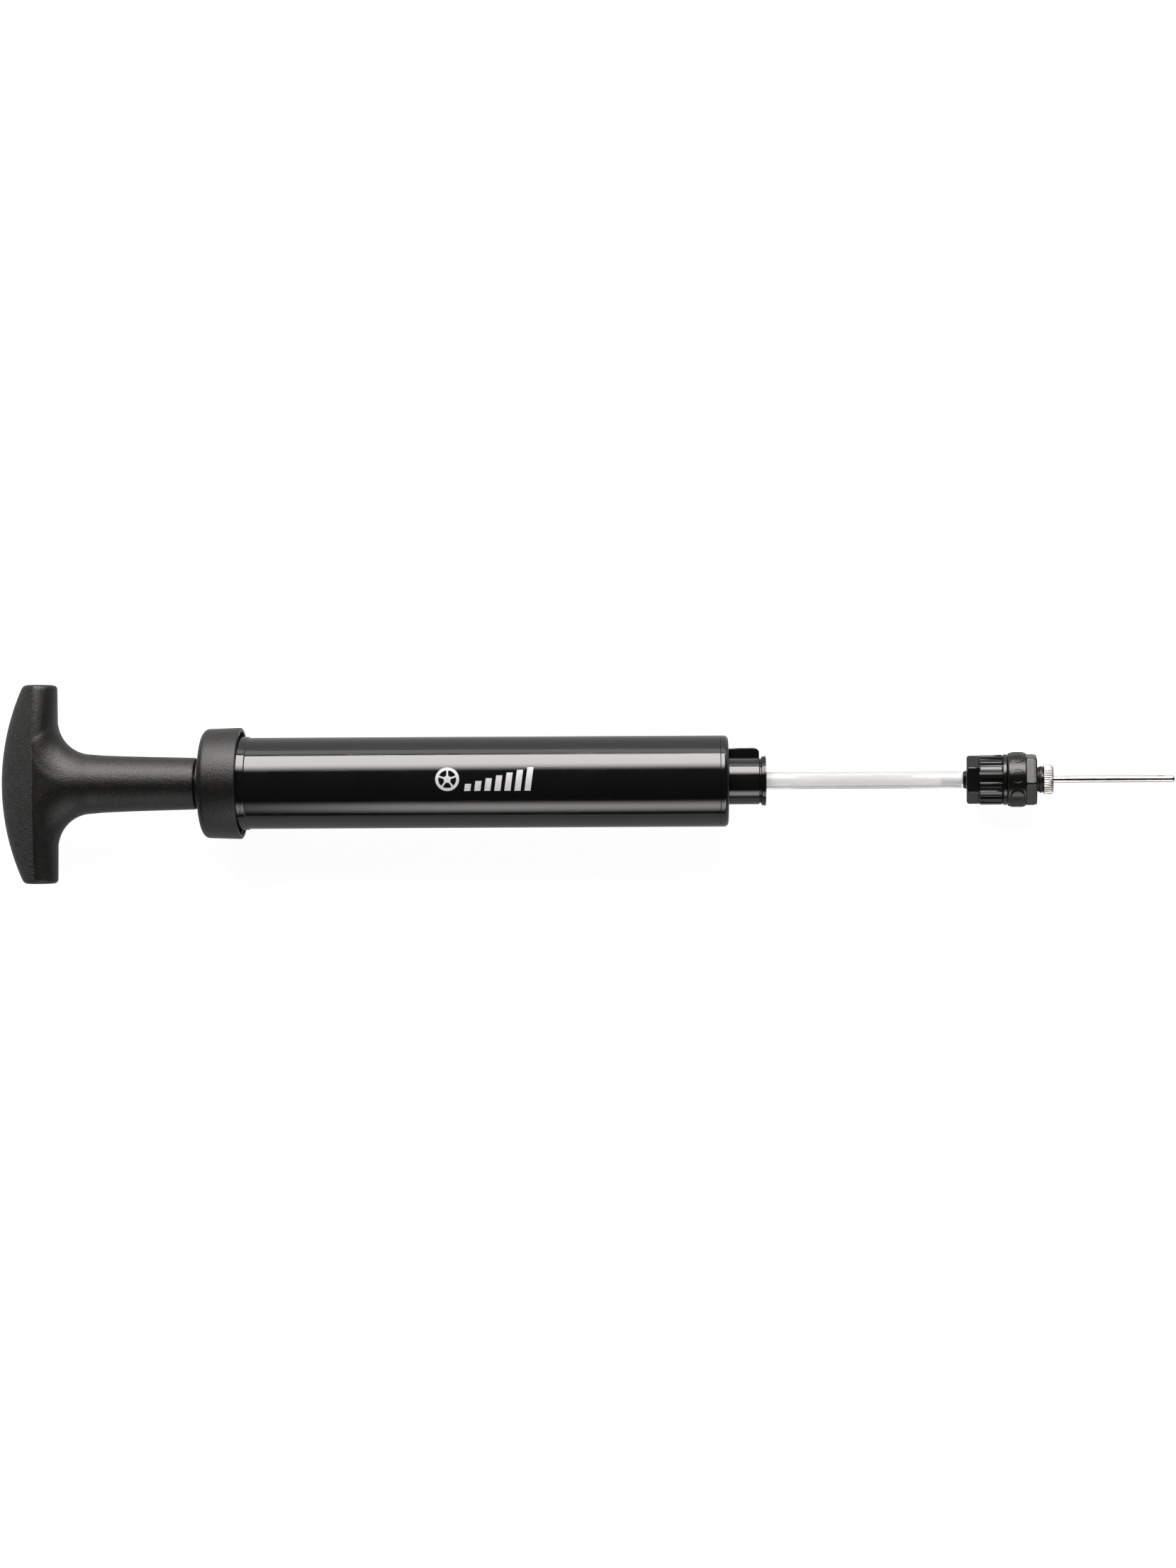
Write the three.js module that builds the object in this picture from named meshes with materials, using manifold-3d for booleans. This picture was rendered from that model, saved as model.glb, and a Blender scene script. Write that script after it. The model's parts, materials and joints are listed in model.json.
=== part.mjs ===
// Hand-held ball inflation pump: a T-handle plunger in a round barrel, a short flexible hose,
// and a screw-clamp head that holds an inflation needle.
// Millimetres, +Z up. The pump lies on its side with its axis along +X, handle at -X, needle at +X.
// The origin is under the middle of the pump body, on the surface that the pump lies on.
import * as THREE from "three";
import { mergeVertices } from "three/addons/utils/BufferGeometryUtils.js";
import Module from "manifold-3d";

const wasm = await Module();
wasm.setup();

// ---- driving dimensions -------------------------------------------------------------------

const HALF_BODY = 110.5; // from the middle of the body to the palm and to the outlet flange
const RIM_RADIUS = 16.1; // the cap's rim, the widest round of the pump
const AXIS_Z = RIM_RADIUS; // so the rim touches the surface
const GAP = 0.3; // between pieces that meet

const BARREL = {
  radius: 13.2, bore: 11.7, mouthX: -49.9, endX: 97.1,
  beadRadius: 14.35, beadEndX: -42.8, collarRadius: 13.5, collarEndX: -41.2,
};
const CAP = {
  faceX: -52.1, faceRadius: 13, shoulderX: -50, rimX: -40.9, radius: 15.8,
  holeRadius: 6.3, skirtBore: 14.9, innerX: -50.2, hooks: 6, hookX: -42.4, hookEndX: -41.3,
};
const BUSH = { flangeX: -53.7, innerX: -45.5, radius: 6.0, flangeRadius: 7.2, seat: 5.3, seatDepth: 2.7 };
const END = {
  seamX: 97.4, faceX: 99.7, spigotX: 91.4, spigotRadius: 11.4, spigotBore: 9.9, innerX: 96, edge: 1.3,
};
const NOZZLE = { radius: 6.8, endX: 108.7, bore: 4.7, boreX: 103.9 };
const VALVE = { radius: 3.1, bossRadius: 5, bossX: 92.4, floorX: 94.5, inlet: 1.0, ball: 2.0, ballX: 97.45 };
const SPRING = { radius: 1.5, wire: 0.22, turns: 4, pitch: 1.3, startX: 99.35 };
const FLANGE = {
  radius: 7.2, thickness: 0.9, neck: 6.2, screw: 4.4, innerX: 105.2, passage: 1.3,
  socket: 2.85, socketX: 107.2,
};
const FIN = { reach: 9.6, endX: 108.6, thickness: 2.4, corner: 1.2 };

const HANDLE = {
  palmX: -HALF_BODY,
  fingerX: -94.25, // underside of the bar, where the fingers pull
  ridgeX: -100, // crease between the palm side and the finger side
  stemEndX: -53.9,
  halfSpan: 28.7,
  palmArc: 68, // radius of the palm side along the bar
  fillet: 10,
  boreX: -84,
  middle: { thick: 8.3, stem: 8.6 },
  tip: { thick: 5.5, stem: 7.5 },
};
const ROD = { radius: 4.0, bore: 2.9, rearX: -83.6, frontX: 82.0 };
const PISTON = {
  radius: 11.2, backX: 82.3, webX: 86.0, frontX: 90.6, pivot: 2.6, recess: 3.7,
  grooveX: 84.8, grooveEndX: 88.0, grooveFloor: 8.9, slots: 4,
};
const SCREW = { tipX: 73, radius: 1.1, shoulder: 2.2, head: 3.2, headHeight: 1.8 };
const RING = { backX: 84.9, width: 2.4, radius: 11.4, bore: 9.1 };
const PLUG = { length: 12, hole: 1.4, holeDepth: 10 };

// Plain washers and soft rings of the body.
const SCREW_WASHER = { x: PISTON.webX + 0.1, thickness: 0.5, bore: 2.35, radius: 3.4 };
const BUMPER = { x: 78.6, thickness: 3.5, bore: ROD.radius + GAP, radius: 8, edge: 0.6 };
const WIPER = { x: -48, thickness: 2, bore: ROD.radius + GAP, radius: 5.1 };
const VALVE_SEAT = { x: VALVE.floorX + 0.1, thickness: 1, bore: VALVE.inlet, radius: 2.9 };
const OUTLET_SEAL = { x: 104, thickness: 0.9, bore: 2.9, radius: 4.5, edge: 0.2 };

const HOSE = { radius: 2.55, bore: 1.6 };
// The hose's route: out of the nozzle, down under its own weight, and up a little into the head.
// [x, z] points on the centreline, in the part's own frame; y is 0 all along.
const HOSE_ROUTE = [
  [107.5, 16.1], [110.5, 16.1], [114, 16.1], [118.6, 15.79], [123.2, 14.94], [127.8, 13.7],
  [132.4, 12.21], [137, 10.62], [141.6, 9.07], [146.2, 7.71], [150.8, 6.67], [155.4, 6.1],
  [160, 6.15], [164.15, 6.5], [167.83, 6.82],
];

// The head's own frame has its origin where the hose meets the collar, on the head's axis.
// It lies on its rearmost ribs and the nut's ring, so its needle end is raised.
const HEAD = { x: 168.13, z: 6.85, tilt: 5 };
const COLLAR = { length: 1.4, rear: 2.5, front: 2.75 };
const BODY = {
  hex: 7.13, hexEnd: 4.95, ribs: 7.27, groove: 6.75, ribCount: 18, ribEnd: 11.9,
  flange: 7.4, flangeEnd: 13.1, spigot: 5.4, spigotEnd: 17.0, bore: 4.5, wall: 1.8, hole: 2.9,
};
const NUT = {
  ring: 7.8, start: 13.4, ringEnd: 18.7, hex: 8.0, end: 21.75, bore: 5.75, wallX: 20.0, hole: 4.2,
  bumps: 8, bumpRadius: 2.1, bumpHeight: 0.25,
};
const NEEDLE = {
  threadStart: 14.5, threadEnd: 21.9, threadRadius: 3.8, threadDepth: 0.4, pitch: 0.794, neck: 2.6,
  knurlStart: 23.4, knurlEnd: 26.6, knurl: 4.33, knurlDepth: 0.28, teeth: 36,
  radius: 1.0, bore: 0.6, tip: 61.6, tubeStart: 16,
};
const BARB = {
  start: -6, bore: 0.7, stem: 1.3, tooth: 1.5, neck: 2.5, flange: 4.2, flangeLength: 1.5, end: 8,
};
const HEAD_SEAL = { x: 12.2, thickness: 2, bore: 1.2, radius: 4.2 };
const GROMMET = { x: 17.3, thickness: 2.4, bore: 4.15, radius: 5.3, edge: 0.4 };
const NEEDLE_WASHER = { x: 22, thickness: 1.3, bore: 2.9, radius: 3.9, edge: 0.5 };
// Angles of the two hexagons' corners and of one bump, from +Y towards +Z, in degrees.
const BODY_HEX_TURN = 60.4;
const NUT_HEX_TURN = 39.2;
const BUMP_TURN = 82.4;

const ROUND = 32; // sides of the big rounds
const SMALL = 20; // sides of the small rounds

// ---- materials ----------------------------------------------------------------------------

const material = (color, roughness, metalness = 0) =>
  new THREE.MeshStandardMaterial({ color, roughness, metalness });
const grainedBlack = material(0x1c1b1a, 0.55);
const glossBlack = material(0x0c0c0d, 0.18);
const headBlack = material(0x121212, 0.3);
const rubber = material(0x0a0a0a, 0.7);
const nylon = material(0xd9d6cc, 0.45);
const aluminium = material(0xb9bbbd, 0.3, 1);
const nickel = material(0xd8d4cc, 0.22, 1);
const steel = material(0xc9c9c9, 0.15, 1);
const clearHose = material(0xe6e8e8, 0.2);
clearHose.transparent = true;
clearHose.opacity = 0.55;

// ---- shape helpers ------------------------------------------------------------------------

const radians = THREE.MathUtils.degToRad;

// A solid turned about the X axis from an outline of [x, radius] points.
function turned(outline, sides = ROUND) {
  const around = (sum, [x, r], i) => {
    const [nextX, nextR] = outline[(i + 1) % outline.length];
    return sum + r * nextX - nextR * x;
  };
  const points = outline.map(([x, r]) => new THREE.Vector2(r, x));
  if (outline.reduce(around, 0) < 0) points.reverse();
  const onAxis = points[0].x === 0 && points.at(-1).x === 0;
  if (!onAxis) points.push(points[0].clone());
  return new THREE.LatheGeometry(points, sides).rotateZ(-Math.PI / 2);
}

// [x, radius] points on an ellipse about (x, radius), from one angle to another in degrees.
function arc(x, radius, across, out, from, to, steps) {
  return Array.from({ length: steps + 1 }, (_, i) => {
    const a = radians(from + ((to - from) * i) / steps);
    return [x + across * Math.cos(a), radius + out * Math.sin(a)];
  });
}

// Turns a shape drawn in a plane, with its depth along Z, so that it faces +X from x.
function facingX(geometry, x) {
  const axes = [new THREE.Vector3(0, 1, 0), new THREE.Vector3(0, 0, 1), new THREE.Vector3(1, 0, 0)];
  return geometry.applyMatrix4(new THREE.Matrix4().makeBasis(...axes)).translate(x, 0, 0);
}

// A prism along X. The outline's points are [y, z].
function prism(outline, fromX, toX) {
  const shape = new THREE.Shape(outline.map(([y, z]) => new THREE.Vector2(y, z)));
  const geometry = new THREE.ExtrudeGeometry(shape, { depth: toX - fromX, bevelEnabled: false });
  return facingX(geometry, fromX);
}

// A block between two radii and two angles, along X.
function arcBlock(inner, outer, fromAngle, toAngle, fromX, toX) {
  const shape = new THREE.Shape()
    .absarc(0, 0, outer, fromAngle, toAngle, false)
    .absarc(0, 0, inner, toAngle, fromAngle, true);
  const depth = toX - fromX;
  const geometry = new THREE.ExtrudeGeometry(shape, { depth, bevelEnabled: false, curveSegments: 3 });
  return facingX(geometry, fromX);
}

const polygon = (count, radius, turnDegrees) =>
  Array.from({ length: count }, (_, i) => {
    const a = radians(turnDegrees) + (i * 2 * Math.PI) / count;
    return [radius * Math.cos(a), radius * Math.sin(a)];
  });

// A closed skin over rings of points, all of one length, with a fan at each end.
function loft(rings) {
  const count = rings[0].length;
  const middle = (ring) =>
    ring.reduce((sum, p) => sum.add(p), new THREE.Vector3()).divideScalar(count);
  const points = [...rings.flat(), middle(rings[0]), middle(rings.at(-1))];
  const faces = [];
  for (let i = 0; i + 1 < rings.length; i++)
    for (let j = 0; j < count; j++) {
      const a = i * count + j;
      const b = i * count + ((j + 1) % count);
      faces.push(a, b, b + count, a, b + count, a + count);
    }
  const last = (rings.length - 1) * count;
  for (let j = 0; j < count; j++) {
    const next = (j + 1) % count;
    faces.push(next, j, points.length - 2);
    faces.push(last + j, last + next, points.length - 1);
  }
  return new THREE.BufferGeometry().setFromPoints(points).setIndex(faces);
}

// A strip wound about the X axis. Its section's points are [x, radius] offsets.
function helix(section, radius, pitch, startX, turns, stepsPerTurn) {
  const steps = Math.round(turns * stepsPerTurn);
  const rings = Array.from({ length: steps + 1 }, (_, i) => {
    const turn = i / stepsPerTurn;
    const a = turn * 2 * Math.PI;
    return section.map(([dx, dr]) => {
      const r = radius + dr;
      return new THREE.Vector3(startX + turn * pitch + dx, r * Math.cos(a), r * Math.sin(a));
    });
  });
  return loft(rings);
}

function solid(geometry) {
  const bare = geometry.clone();
  for (const name of ["normal", "uv"]) bare.deleteAttribute(name);
  const merged = mergeVertices(bare, 1e-4);
  const vertProperties = new Float32Array(merged.attributes.position.array);
  const triVerts = new Uint32Array(merged.index.array);
  const made = new wasm.Manifold(new wasm.Mesh({ numProp: 3, vertProperties, triVerts }));
  if (made.volume() >= 0) return made;
  for (let i = 0; i < triVerts.length; i += 3)
    [triVerts[i + 1], triVerts[i + 2]] = [triVerts[i + 2], triVerts[i + 1]];
  return new wasm.Manifold(new wasm.Mesh({ numProp: 3, vertProperties, triVerts }));
}

function skin(manifold) {
  const { numProp, numVert, vertProperties, triVerts } = manifold.getMesh();
  const positions = new Float32Array(numVert * 3);
  for (let i = 0; i < numVert; i++)
    positions.set(vertProperties.subarray(i * numProp, i * numProp + 3), i * 3);
  const geometry = new THREE.BufferGeometry();
  geometry.setAttribute("position", new THREE.BufferAttribute(positions, 3));
  geometry.setIndex(new THREE.BufferAttribute(triVerts, 1));
  geometry.computeVertexNormals();
  return geometry;
}

const joined = (...geometries) =>
  skin(geometries.map(solid).reduce((whole, piece) => whole.add(piece)));
const cut = (geometry, ...tools) =>
  skin(tools.map(solid).reduce((whole, tool) => whole.subtract(tool), solid(geometry)));

// ---- plunger: handle, rod and piston ------------------------------------------------------

// The bar's section at y: a blunt palm side and a rounder finger side that meet in a soft crease.
function barSection(y, shrink) {
  const { palmX, fingerX, ridgeX, palmArc, halfSpan, middle, tip } = HANDLE;
  const share = y / halfSpan;
  const thick = middle.thick + (tip.thick - middle.thick) * share * share;
  const palm = palmX + palmArc - Math.sqrt(palmArc ** 2 - y ** 2);
  const centre = ridgeX + 0.35 * (ridgeX - palm); // past the ridge, which leaves the crease
  const reach = centre - palm;
  const lift = thick / Math.sqrt(1 - ((centre - ridgeX) / reach) ** 2);
  const ridgeAngle = Math.acos((centre - ridgeX) / reach);
  const half = 9; // points on each side
  const points = [];
  for (let i = 0; i <= half; i++) {
    const a = -ridgeAngle + (2 * ridgeAngle * i) / half;
    points.push([centre - reach * Math.cos(a), lift * Math.sin(a)]);
  }
  for (let i = 1; i < half; i++) {
    const a = Math.PI / 2 - (Math.PI * i) / half;
    points.push([ridgeX + (fingerX - ridgeX) * Math.cos(a), thick * Math.sin(a)]);
  }
  return points.map(
    ([x, z]) => new THREE.Vector3(ridgeX + (x - ridgeX) * shrink, y, z * shrink),
  );
}

function handleShape() {
  const { fingerX, ridgeX, stemEndX, halfSpan, fillet, boreX, middle, tip } = HANDLE;
  const edge = 1.0; // rounding of the bar's ends
  const bar = [];
  for (const side of [-1, 1]) {
    const ends = [[halfSpan, 0.82], [halfSpan - 0.3 * edge, 0.93], [halfSpan - edge, 1]];
    const inner = [0.78, 0.58, 0.38, 0.19].map((share) => [share * halfSpan, 1]);
    const rings = [...ends, ...inner].map(([y, shrink]) => barSection(side * y, shrink));
    bar.push(...(side < 0 ? rings : [barSection(0, 1), ...rings.reverse()]));
  }
  const stemStart = fingerX + fillet; // where the fillet has run out into the stem
  // How far the fillet between bar and stem stands out from the stem, at one x, y and height.
  const flare = (x, y, z) => {
    const thick = middle.thick + (tip.thick - middle.thick) * (y / halfSpan) ** 2;
    const barX = ridgeX + (fingerX - ridgeX) * Math.sqrt(Math.max(0, 1 - (z / thick) ** 2));
    const into = Math.min(fillet, Math.max(0, barX + fillet - x));
    return fillet - Math.sqrt(fillet ** 2 - into ** 2);
  };
  const sides = 32;
  const stemSection = (x) => {
    const share = Math.min(1, Math.max(0, (x - stemStart) / (stemEndX - stemStart)));
    const round = middle.stem + (tip.stem - middle.stem) * Math.pow(share, 0.6);
    const tall = x > ridgeX ? Math.min(round, middle.thick + 0.03 * (x - ridgeX)) : middle.thick - 0.4;
    return polygon(sides, 1, 180 / sides).map(([across, up]) => {
      const z = up * tall;
      const y = Math.abs(across) * round;
      return new THREE.Vector3(x, Math.sign(across) * (y + flare(x, y + fillet / 2, z)), z);
    });
  };
  const fractions = [0, 0.04, 0.14, 0.3, 0.55, 1];
  const stations = [
    ridgeX,
    ...fractions.map((f) => fingerX + f * fillet),
    ...[0.15, 0.4, 0.7, 1].map((f) => stemStart + f * (stemEndX - stemStart)),
  ];
  const stem = loft(stations.map(stemSection));
  const bore = turned(
    [[boreX, 0], [boreX, ROD.radius + GAP], [stemEndX + 1, ROD.radius + GAP], [stemEndX + 1, 0]],
    SMALL,
  );
  return skin(solid(loft(bar)).add(solid(stem)).subtract(solid(bore)));
}

function rodShape() {
  const { rearX, frontX, radius, bore } = ROD;
  return turned([[rearX, bore], [rearX, radius], [frontX, radius], [frontX, bore]], SMALL);
}

// The plug that closes the rod's front and takes the piston screw.
function rodPlugShape() {
  const { frontX, bore } = ROD;
  const outer = bore - GAP;
  const rear = frontX - PLUG.length;
  const floor = frontX - PLUG.holeDepth;
  return turned(
    [[rear, 0], [rear, outer], [frontX, outer], [frontX, PLUG.hole], [floor, PLUG.hole], [floor, 0]],
    SMALL,
  );
}

function pistonShape() {
  const { radius, backX, webX, frontX, pivot, recess, grooveX, grooveEndX, grooveFloor, slots } = PISTON;
  const chamfer = 0.5;
  const disc = turned([
    [backX, pivot], [backX, radius - chamfer], [backX + chamfer, radius], [grooveX, radius],
    [grooveX, grooveFloor], [grooveEndX, grooveFloor], [grooveEndX, radius],
    [frontX - chamfer, radius], [frontX, radius - chamfer], [frontX, recess], [webX, recess],
    [webX, pivot],
  ]);
  // Slots in the front wall of the groove, which let air past the ring on the way out.
  const halfAngle = 0.12;
  const tools = Array.from({ length: slots }, (_, i) => {
    const a = ((i + 0.5) * 2 * Math.PI) / slots;
    const [inner, outer] = [grooveFloor + GAP, radius + 1];
    return arcBlock(inner, outer, a - halfAngle, a + halfAngle, grooveEndX - 0.5, frontX + 1);
  });
  return cut(disc, ...tools);
}

function pistonRingShape() {
  const { backX, width, radius, bore } = RING;
  const middle = (radius + bore) / 2;
  return turned(arc(backX + width / 2, middle, width / 2, radius - middle, 30, 330, 5));
}

// A shoulder screw: the piston turns freely on its shoulder.
function pistonScrewShape() {
  const { tipX, radius, shoulder, head: headRadius, headHeight } = SCREW;
  const headX = PISTON.webX + 0.7;
  const topX = headX + headHeight;
  const shoulderX = ROD.frontX + 0.15;
  const screw = turned(
    [[tipX, 0], [tipX, radius - 0.2], [tipX + 0.6, radius], [shoulderX, radius],
      [shoulderX, shoulder], [headX, shoulder], [headX, headRadius], [topX - 0.4, headRadius],
      [topX, headRadius - 0.4], [topX, 0]],
    SMALL,
  );
  const [long, half] = [headRadius + 0.3, 0.4];
  const outline = [[-long, -half], [long, -half], [long, half], [-long, half]];
  return cut(screw, prism(outline, topX - 0.8, topX + 1));
}

const washerShape = ({ x, thickness, bore, radius }) =>
  turned([[x, bore], [x, radius], [x + thickness, radius], [x + thickness, bore]], SMALL);

// A soft ring with rounded edges.
function softRingShape({ x, thickness, bore, radius, edge }) {
  const end = x + thickness;
  return turned(
    [[x, bore], [x, radius - edge], [x + edge, radius], [end - edge, radius],
      [end, radius - edge], [end, bore]],
    SMALL,
  );
}

// ---- barrel, cap and outlet ---------------------------------------------------------------

function barrelShape() {
  const { radius, bore, mouthX, endX, beadRadius, beadEndX, collarRadius, collarEndX } = BARREL;
  return turned([
    [mouthX, bore], [mouthX, beadRadius], [beadEndX, beadRadius], [beadEndX + 0.4, collarRadius],
    [collarEndX, collarRadius], [collarEndX + 2, radius], [endX, radius], [endX, bore],
  ]);
}

function capShape() {
  const { faceX, faceRadius, shoulderX, rimX, radius, holeRadius, skirtBore, innerX } = CAP;
  const shoulder = arc(shoulderX, faceRadius, faceX - shoulderX, radius - faceRadius, 0, 90, 5);
  const shell = turned([
    [faceX, holeRadius], ...shoulder, [rimX - 0.3, RIM_RADIUS], [rimX, RIM_RADIUS - 0.3],
    [rimX, skirtBore], [innerX, skirtBore], [innerX, holeRadius],
  ]);
  // Snap hooks inside the rim, which hold the cap behind the barrel's bead.
  const halfAngle = 0.22;
  const hooks = Array.from({ length: CAP.hooks }, (_, i) => {
    const a = (i * 2 * Math.PI) / CAP.hooks + radians(75);
    const [inner, outer] = [BARREL.collarRadius + 0.55, skirtBore + 0.4];
    return arcBlock(inner, outer, a - halfAngle, a + halfAngle, CAP.hookX, CAP.hookEndX);
  });
  return joined(shell, ...hooks);
}

// The guide that the rod runs in, pressed into the cap, with a seat for the wiper.
function bushShape() {
  const { flangeX, innerX, radius, flangeRadius, seat, seatDepth } = BUSH;
  const bore = ROD.radius + GAP;
  const seatX = innerX - seatDepth;
  const neckX = CAP.faceX - GAP;
  return turned([
    [flangeX, bore], [flangeX, flangeRadius], [neckX, flangeRadius], [neckX, radius],
    [innerX, radius], [innerX, seat], [seatX, seat], [seatX, bore],
  ]);
}

function endCapShape() {
  const { seamX, faceX, spigotX, spigotRadius, spigotBore, innerX, edge } = END;
  const { radius, endX, bore, boreX } = NOZZLE;
  const body = turned([
    [seamX, BARREL.radius], ...arc(faceX - edge, BARREL.radius - edge, edge, edge, 90, 0, 4),
    [faceX, radius], [endX - 0.3, radius], [endX, radius - 0.3], [endX, bore], [boreX, bore],
    [boreX, VALVE.radius], [VALVE.floorX, VALVE.radius], [VALVE.floorX, VALVE.inlet],
    [VALVE.bossX, VALVE.inlet], [VALVE.bossX, VALVE.bossRadius], [innerX, VALVE.bossRadius],
    [innerX, spigotBore], [spigotX, spigotBore], [spigotX, spigotRadius], [seamX, spigotRadius],
  ]);
  // The fin along one side of the nozzle, with one rounded corner.
  const finShape = new THREE.Shape()
    .moveTo(faceX - 1, radius - 1)
    .lineTo(FIN.endX, radius - 1)
    .lineTo(FIN.endX, FIN.reach - FIN.corner)
    .absarc(FIN.endX - FIN.corner, FIN.reach - FIN.corner, FIN.corner, 0, Math.PI / 2, false)
    .lineTo(faceX - 1, FIN.reach);
  const options = { depth: FIN.thickness, bevelEnabled: false, curveSegments: 4 };
  const fin = new THREE.ExtrudeGeometry(finShape, options).translate(0, 0, -FIN.thickness / 2);
  return joined(body, fin);
}

// The ring that screws into the nozzle and holds the hose.
function outletRingShape() {
  const { radius, thickness, neck, screw, innerX, passage, socket, socketX } = FLANGE;
  const rear = HALF_BODY - thickness;
  const neckX = NOZZLE.endX + 0.2;
  return turned([
    [innerX, passage], [innerX, screw], [neckX, screw], [neckX, neck], [rear, neck],
    [rear, radius], [HALF_BODY - 0.2, radius], [HALF_BODY, radius - 0.2], [HALF_BODY, socket],
    [socketX, socket], [socketX, passage],
  ]);
}

const ballShape = () => new THREE.SphereGeometry(VALVE.ball, 16, 10).translate(VALVE.ballX, 0, 0);

function springShape() {
  const { radius, wire, turns, pitch, startX } = SPRING;
  return helix(polygon(6, wire, 0), radius, pitch, startX, turns, 12);
}

function hoseShape() {
  const route = HOSE_ROUTE.map(([x, z]) => new THREE.Vector3(x, 0, z - AXIS_Z));
  const path = new THREE.CatmullRomCurve3(route, false, "centripetal");
  const circle = (radius) => polygon(10, radius, 18).map(([y, z]) => new THREE.Vector2(y, z));
  const section = new THREE.Shape(circle(HOSE.radius));
  section.holes.push(new THREE.Path(circle(HOSE.bore)));
  return new THREE.ExtrudeGeometry(section, { steps: 16, extrudePath: path, bevelEnabled: false });
}

// ---- head: collar, body, clamp nut and needle, in the head's own frame --------------------

function collarShape() {
  const { length, rear, front } = COLLAR;
  const end = length - 0.1;
  return turned(
    [[GAP, HOSE.bore], [GAP, rear - 0.3], [2 * GAP, rear], [end, front], [end, HOSE.bore]],
    SMALL,
  );
}

// The stem that the hose is pushed over, held by its flange behind the body's end wall.
function barbShape() {
  const { start, bore, stem, tooth, neck, flange, flangeLength, end } = BARB;
  const flangeX = COLLAR.length + BODY.wall + GAP;
  const frontX = flangeX + flangeLength;
  const neckX = COLLAR.length + 0.2;
  return turned(
    [[start, bore], [start, stem - 0.2], [start + 1.4, tooth], [start + 1.4, stem],
      [start + 2.2, stem], [start + 3.6, tooth], [start + 3.6, stem], [neckX, stem], [neckX, neck],
      [flangeX, neck], [flangeX, flange], [frontX, flange], [frontX, 2], [end, 2], [end, bore]],
    SMALL,
  );
}

// [y, z] points of a round with straight ribs: each rib has a flat top and sloping flanks.
function ribbedOutline(count, outer, inner) {
  const pitch = (2 * Math.PI) / count;
  return Array.from({ length: count }, (_, i) => {
    const a = i * pitch + radians(6);
    const corners = [[-0.32, outer], [0.1, outer], [0.24, inner], [0.54, inner]];
    return corners.map(([share, r]) => [
      r * Math.cos(a + share * pitch),
      r * Math.sin(a + share * pitch),
    ]);
  }).flat();
}

function headBodyShape() {
  const { hex, hexEnd, ribs, groove, ribCount, ribEnd, flange, flangeEnd } = BODY;
  const { spigot, spigotEnd, bore, wall, hole } = BODY;
  const start = COLLAR.length;
  const overlap = 0.2;
  const hexagon = prism(polygon(6, hex, BODY_HEX_TURN), start, hexEnd);
  const rounding = turned(
    [[start - 1, 0], [start, hex - 0.5], [start + 0.5, hex + 0.1], [hexEnd + 1, hex + 0.1],
      [hexEnd + 1, 0]]);
  const grip = prism(ribbedOutline(ribCount, ribs, groove), hexEnd - overlap, ribEnd);
  const front = turned(
    [[ribEnd - overlap, 0], [ribEnd - overlap, flange], [flangeEnd, flange], [flangeEnd, spigot],
      [spigotEnd, spigot], [spigotEnd, 0]]);
  const hollow = turned(
    [[start - 1, 0], [start - 1, hole], [start + wall, hole], [start + wall, bore],
      [spigotEnd + 1, bore], [spigotEnd + 1, 0]], SMALL);
  const end = solid(hexagon).intersect(solid(rounding));
  return skin(end.add(solid(grip)).add(solid(front)).subtract(solid(hollow)));
}

// A low round button on the clamp nut's ring, at an angle from +Y towards +Z.
function bumpShape(angle) {
  const { ring, start, ringEnd, bumpRadius, bumpHeight } = NUT;
  const outline = [[ring - 1.5, 0], [ring - 1.5, bumpRadius], [ring - 0.25, bumpRadius],
    [ring + bumpHeight, 0.5 * bumpRadius], [ring + bumpHeight, 0]];
  return turned(outline, 12)
    .rotateZ(Math.PI / 2)
    .rotateX(angle)
    .translate((start + ringEnd) / 2, 0, 0);
}

function clampNutShape() {
  const { ring, start, ringEnd, hex, end, bore, wallX, hole, bumps } = NUT;
  const edge = 0.4;
  const band = turned(
    [[start, 0], [start, ring - edge], [start + edge, ring], [ringEnd - edge, ring],
      [ringEnd, ring - edge], [ringEnd, 0]]);
  const hexagon = prism(polygon(6, hex, NUT_HEX_TURN), ringEnd - 0.2, end);
  const rounding = turned(
    [[ringEnd - 1, 0], [ringEnd - 1, hex + 0.1], [end - 0.4, hex + 0.1], [end, hex - 0.5],
      [end, 0]]);
  const hollow = turned(
    [[start - 1, 0], [start - 1, bore], [wallX, bore], [wallX, hole], [end + 1, hole],
      [end + 1, 0]], SMALL);
  let nut = solid(band).add(solid(hexagon).intersect(solid(rounding)));
  for (let i = 0; i < bumps; i++)
    nut = nut.add(solid(bumpShape(radians(BUMP_TURN) + (i * 2 * Math.PI) / bumps)));
  return skin(nut.subtract(solid(hollow)));
}

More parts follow.
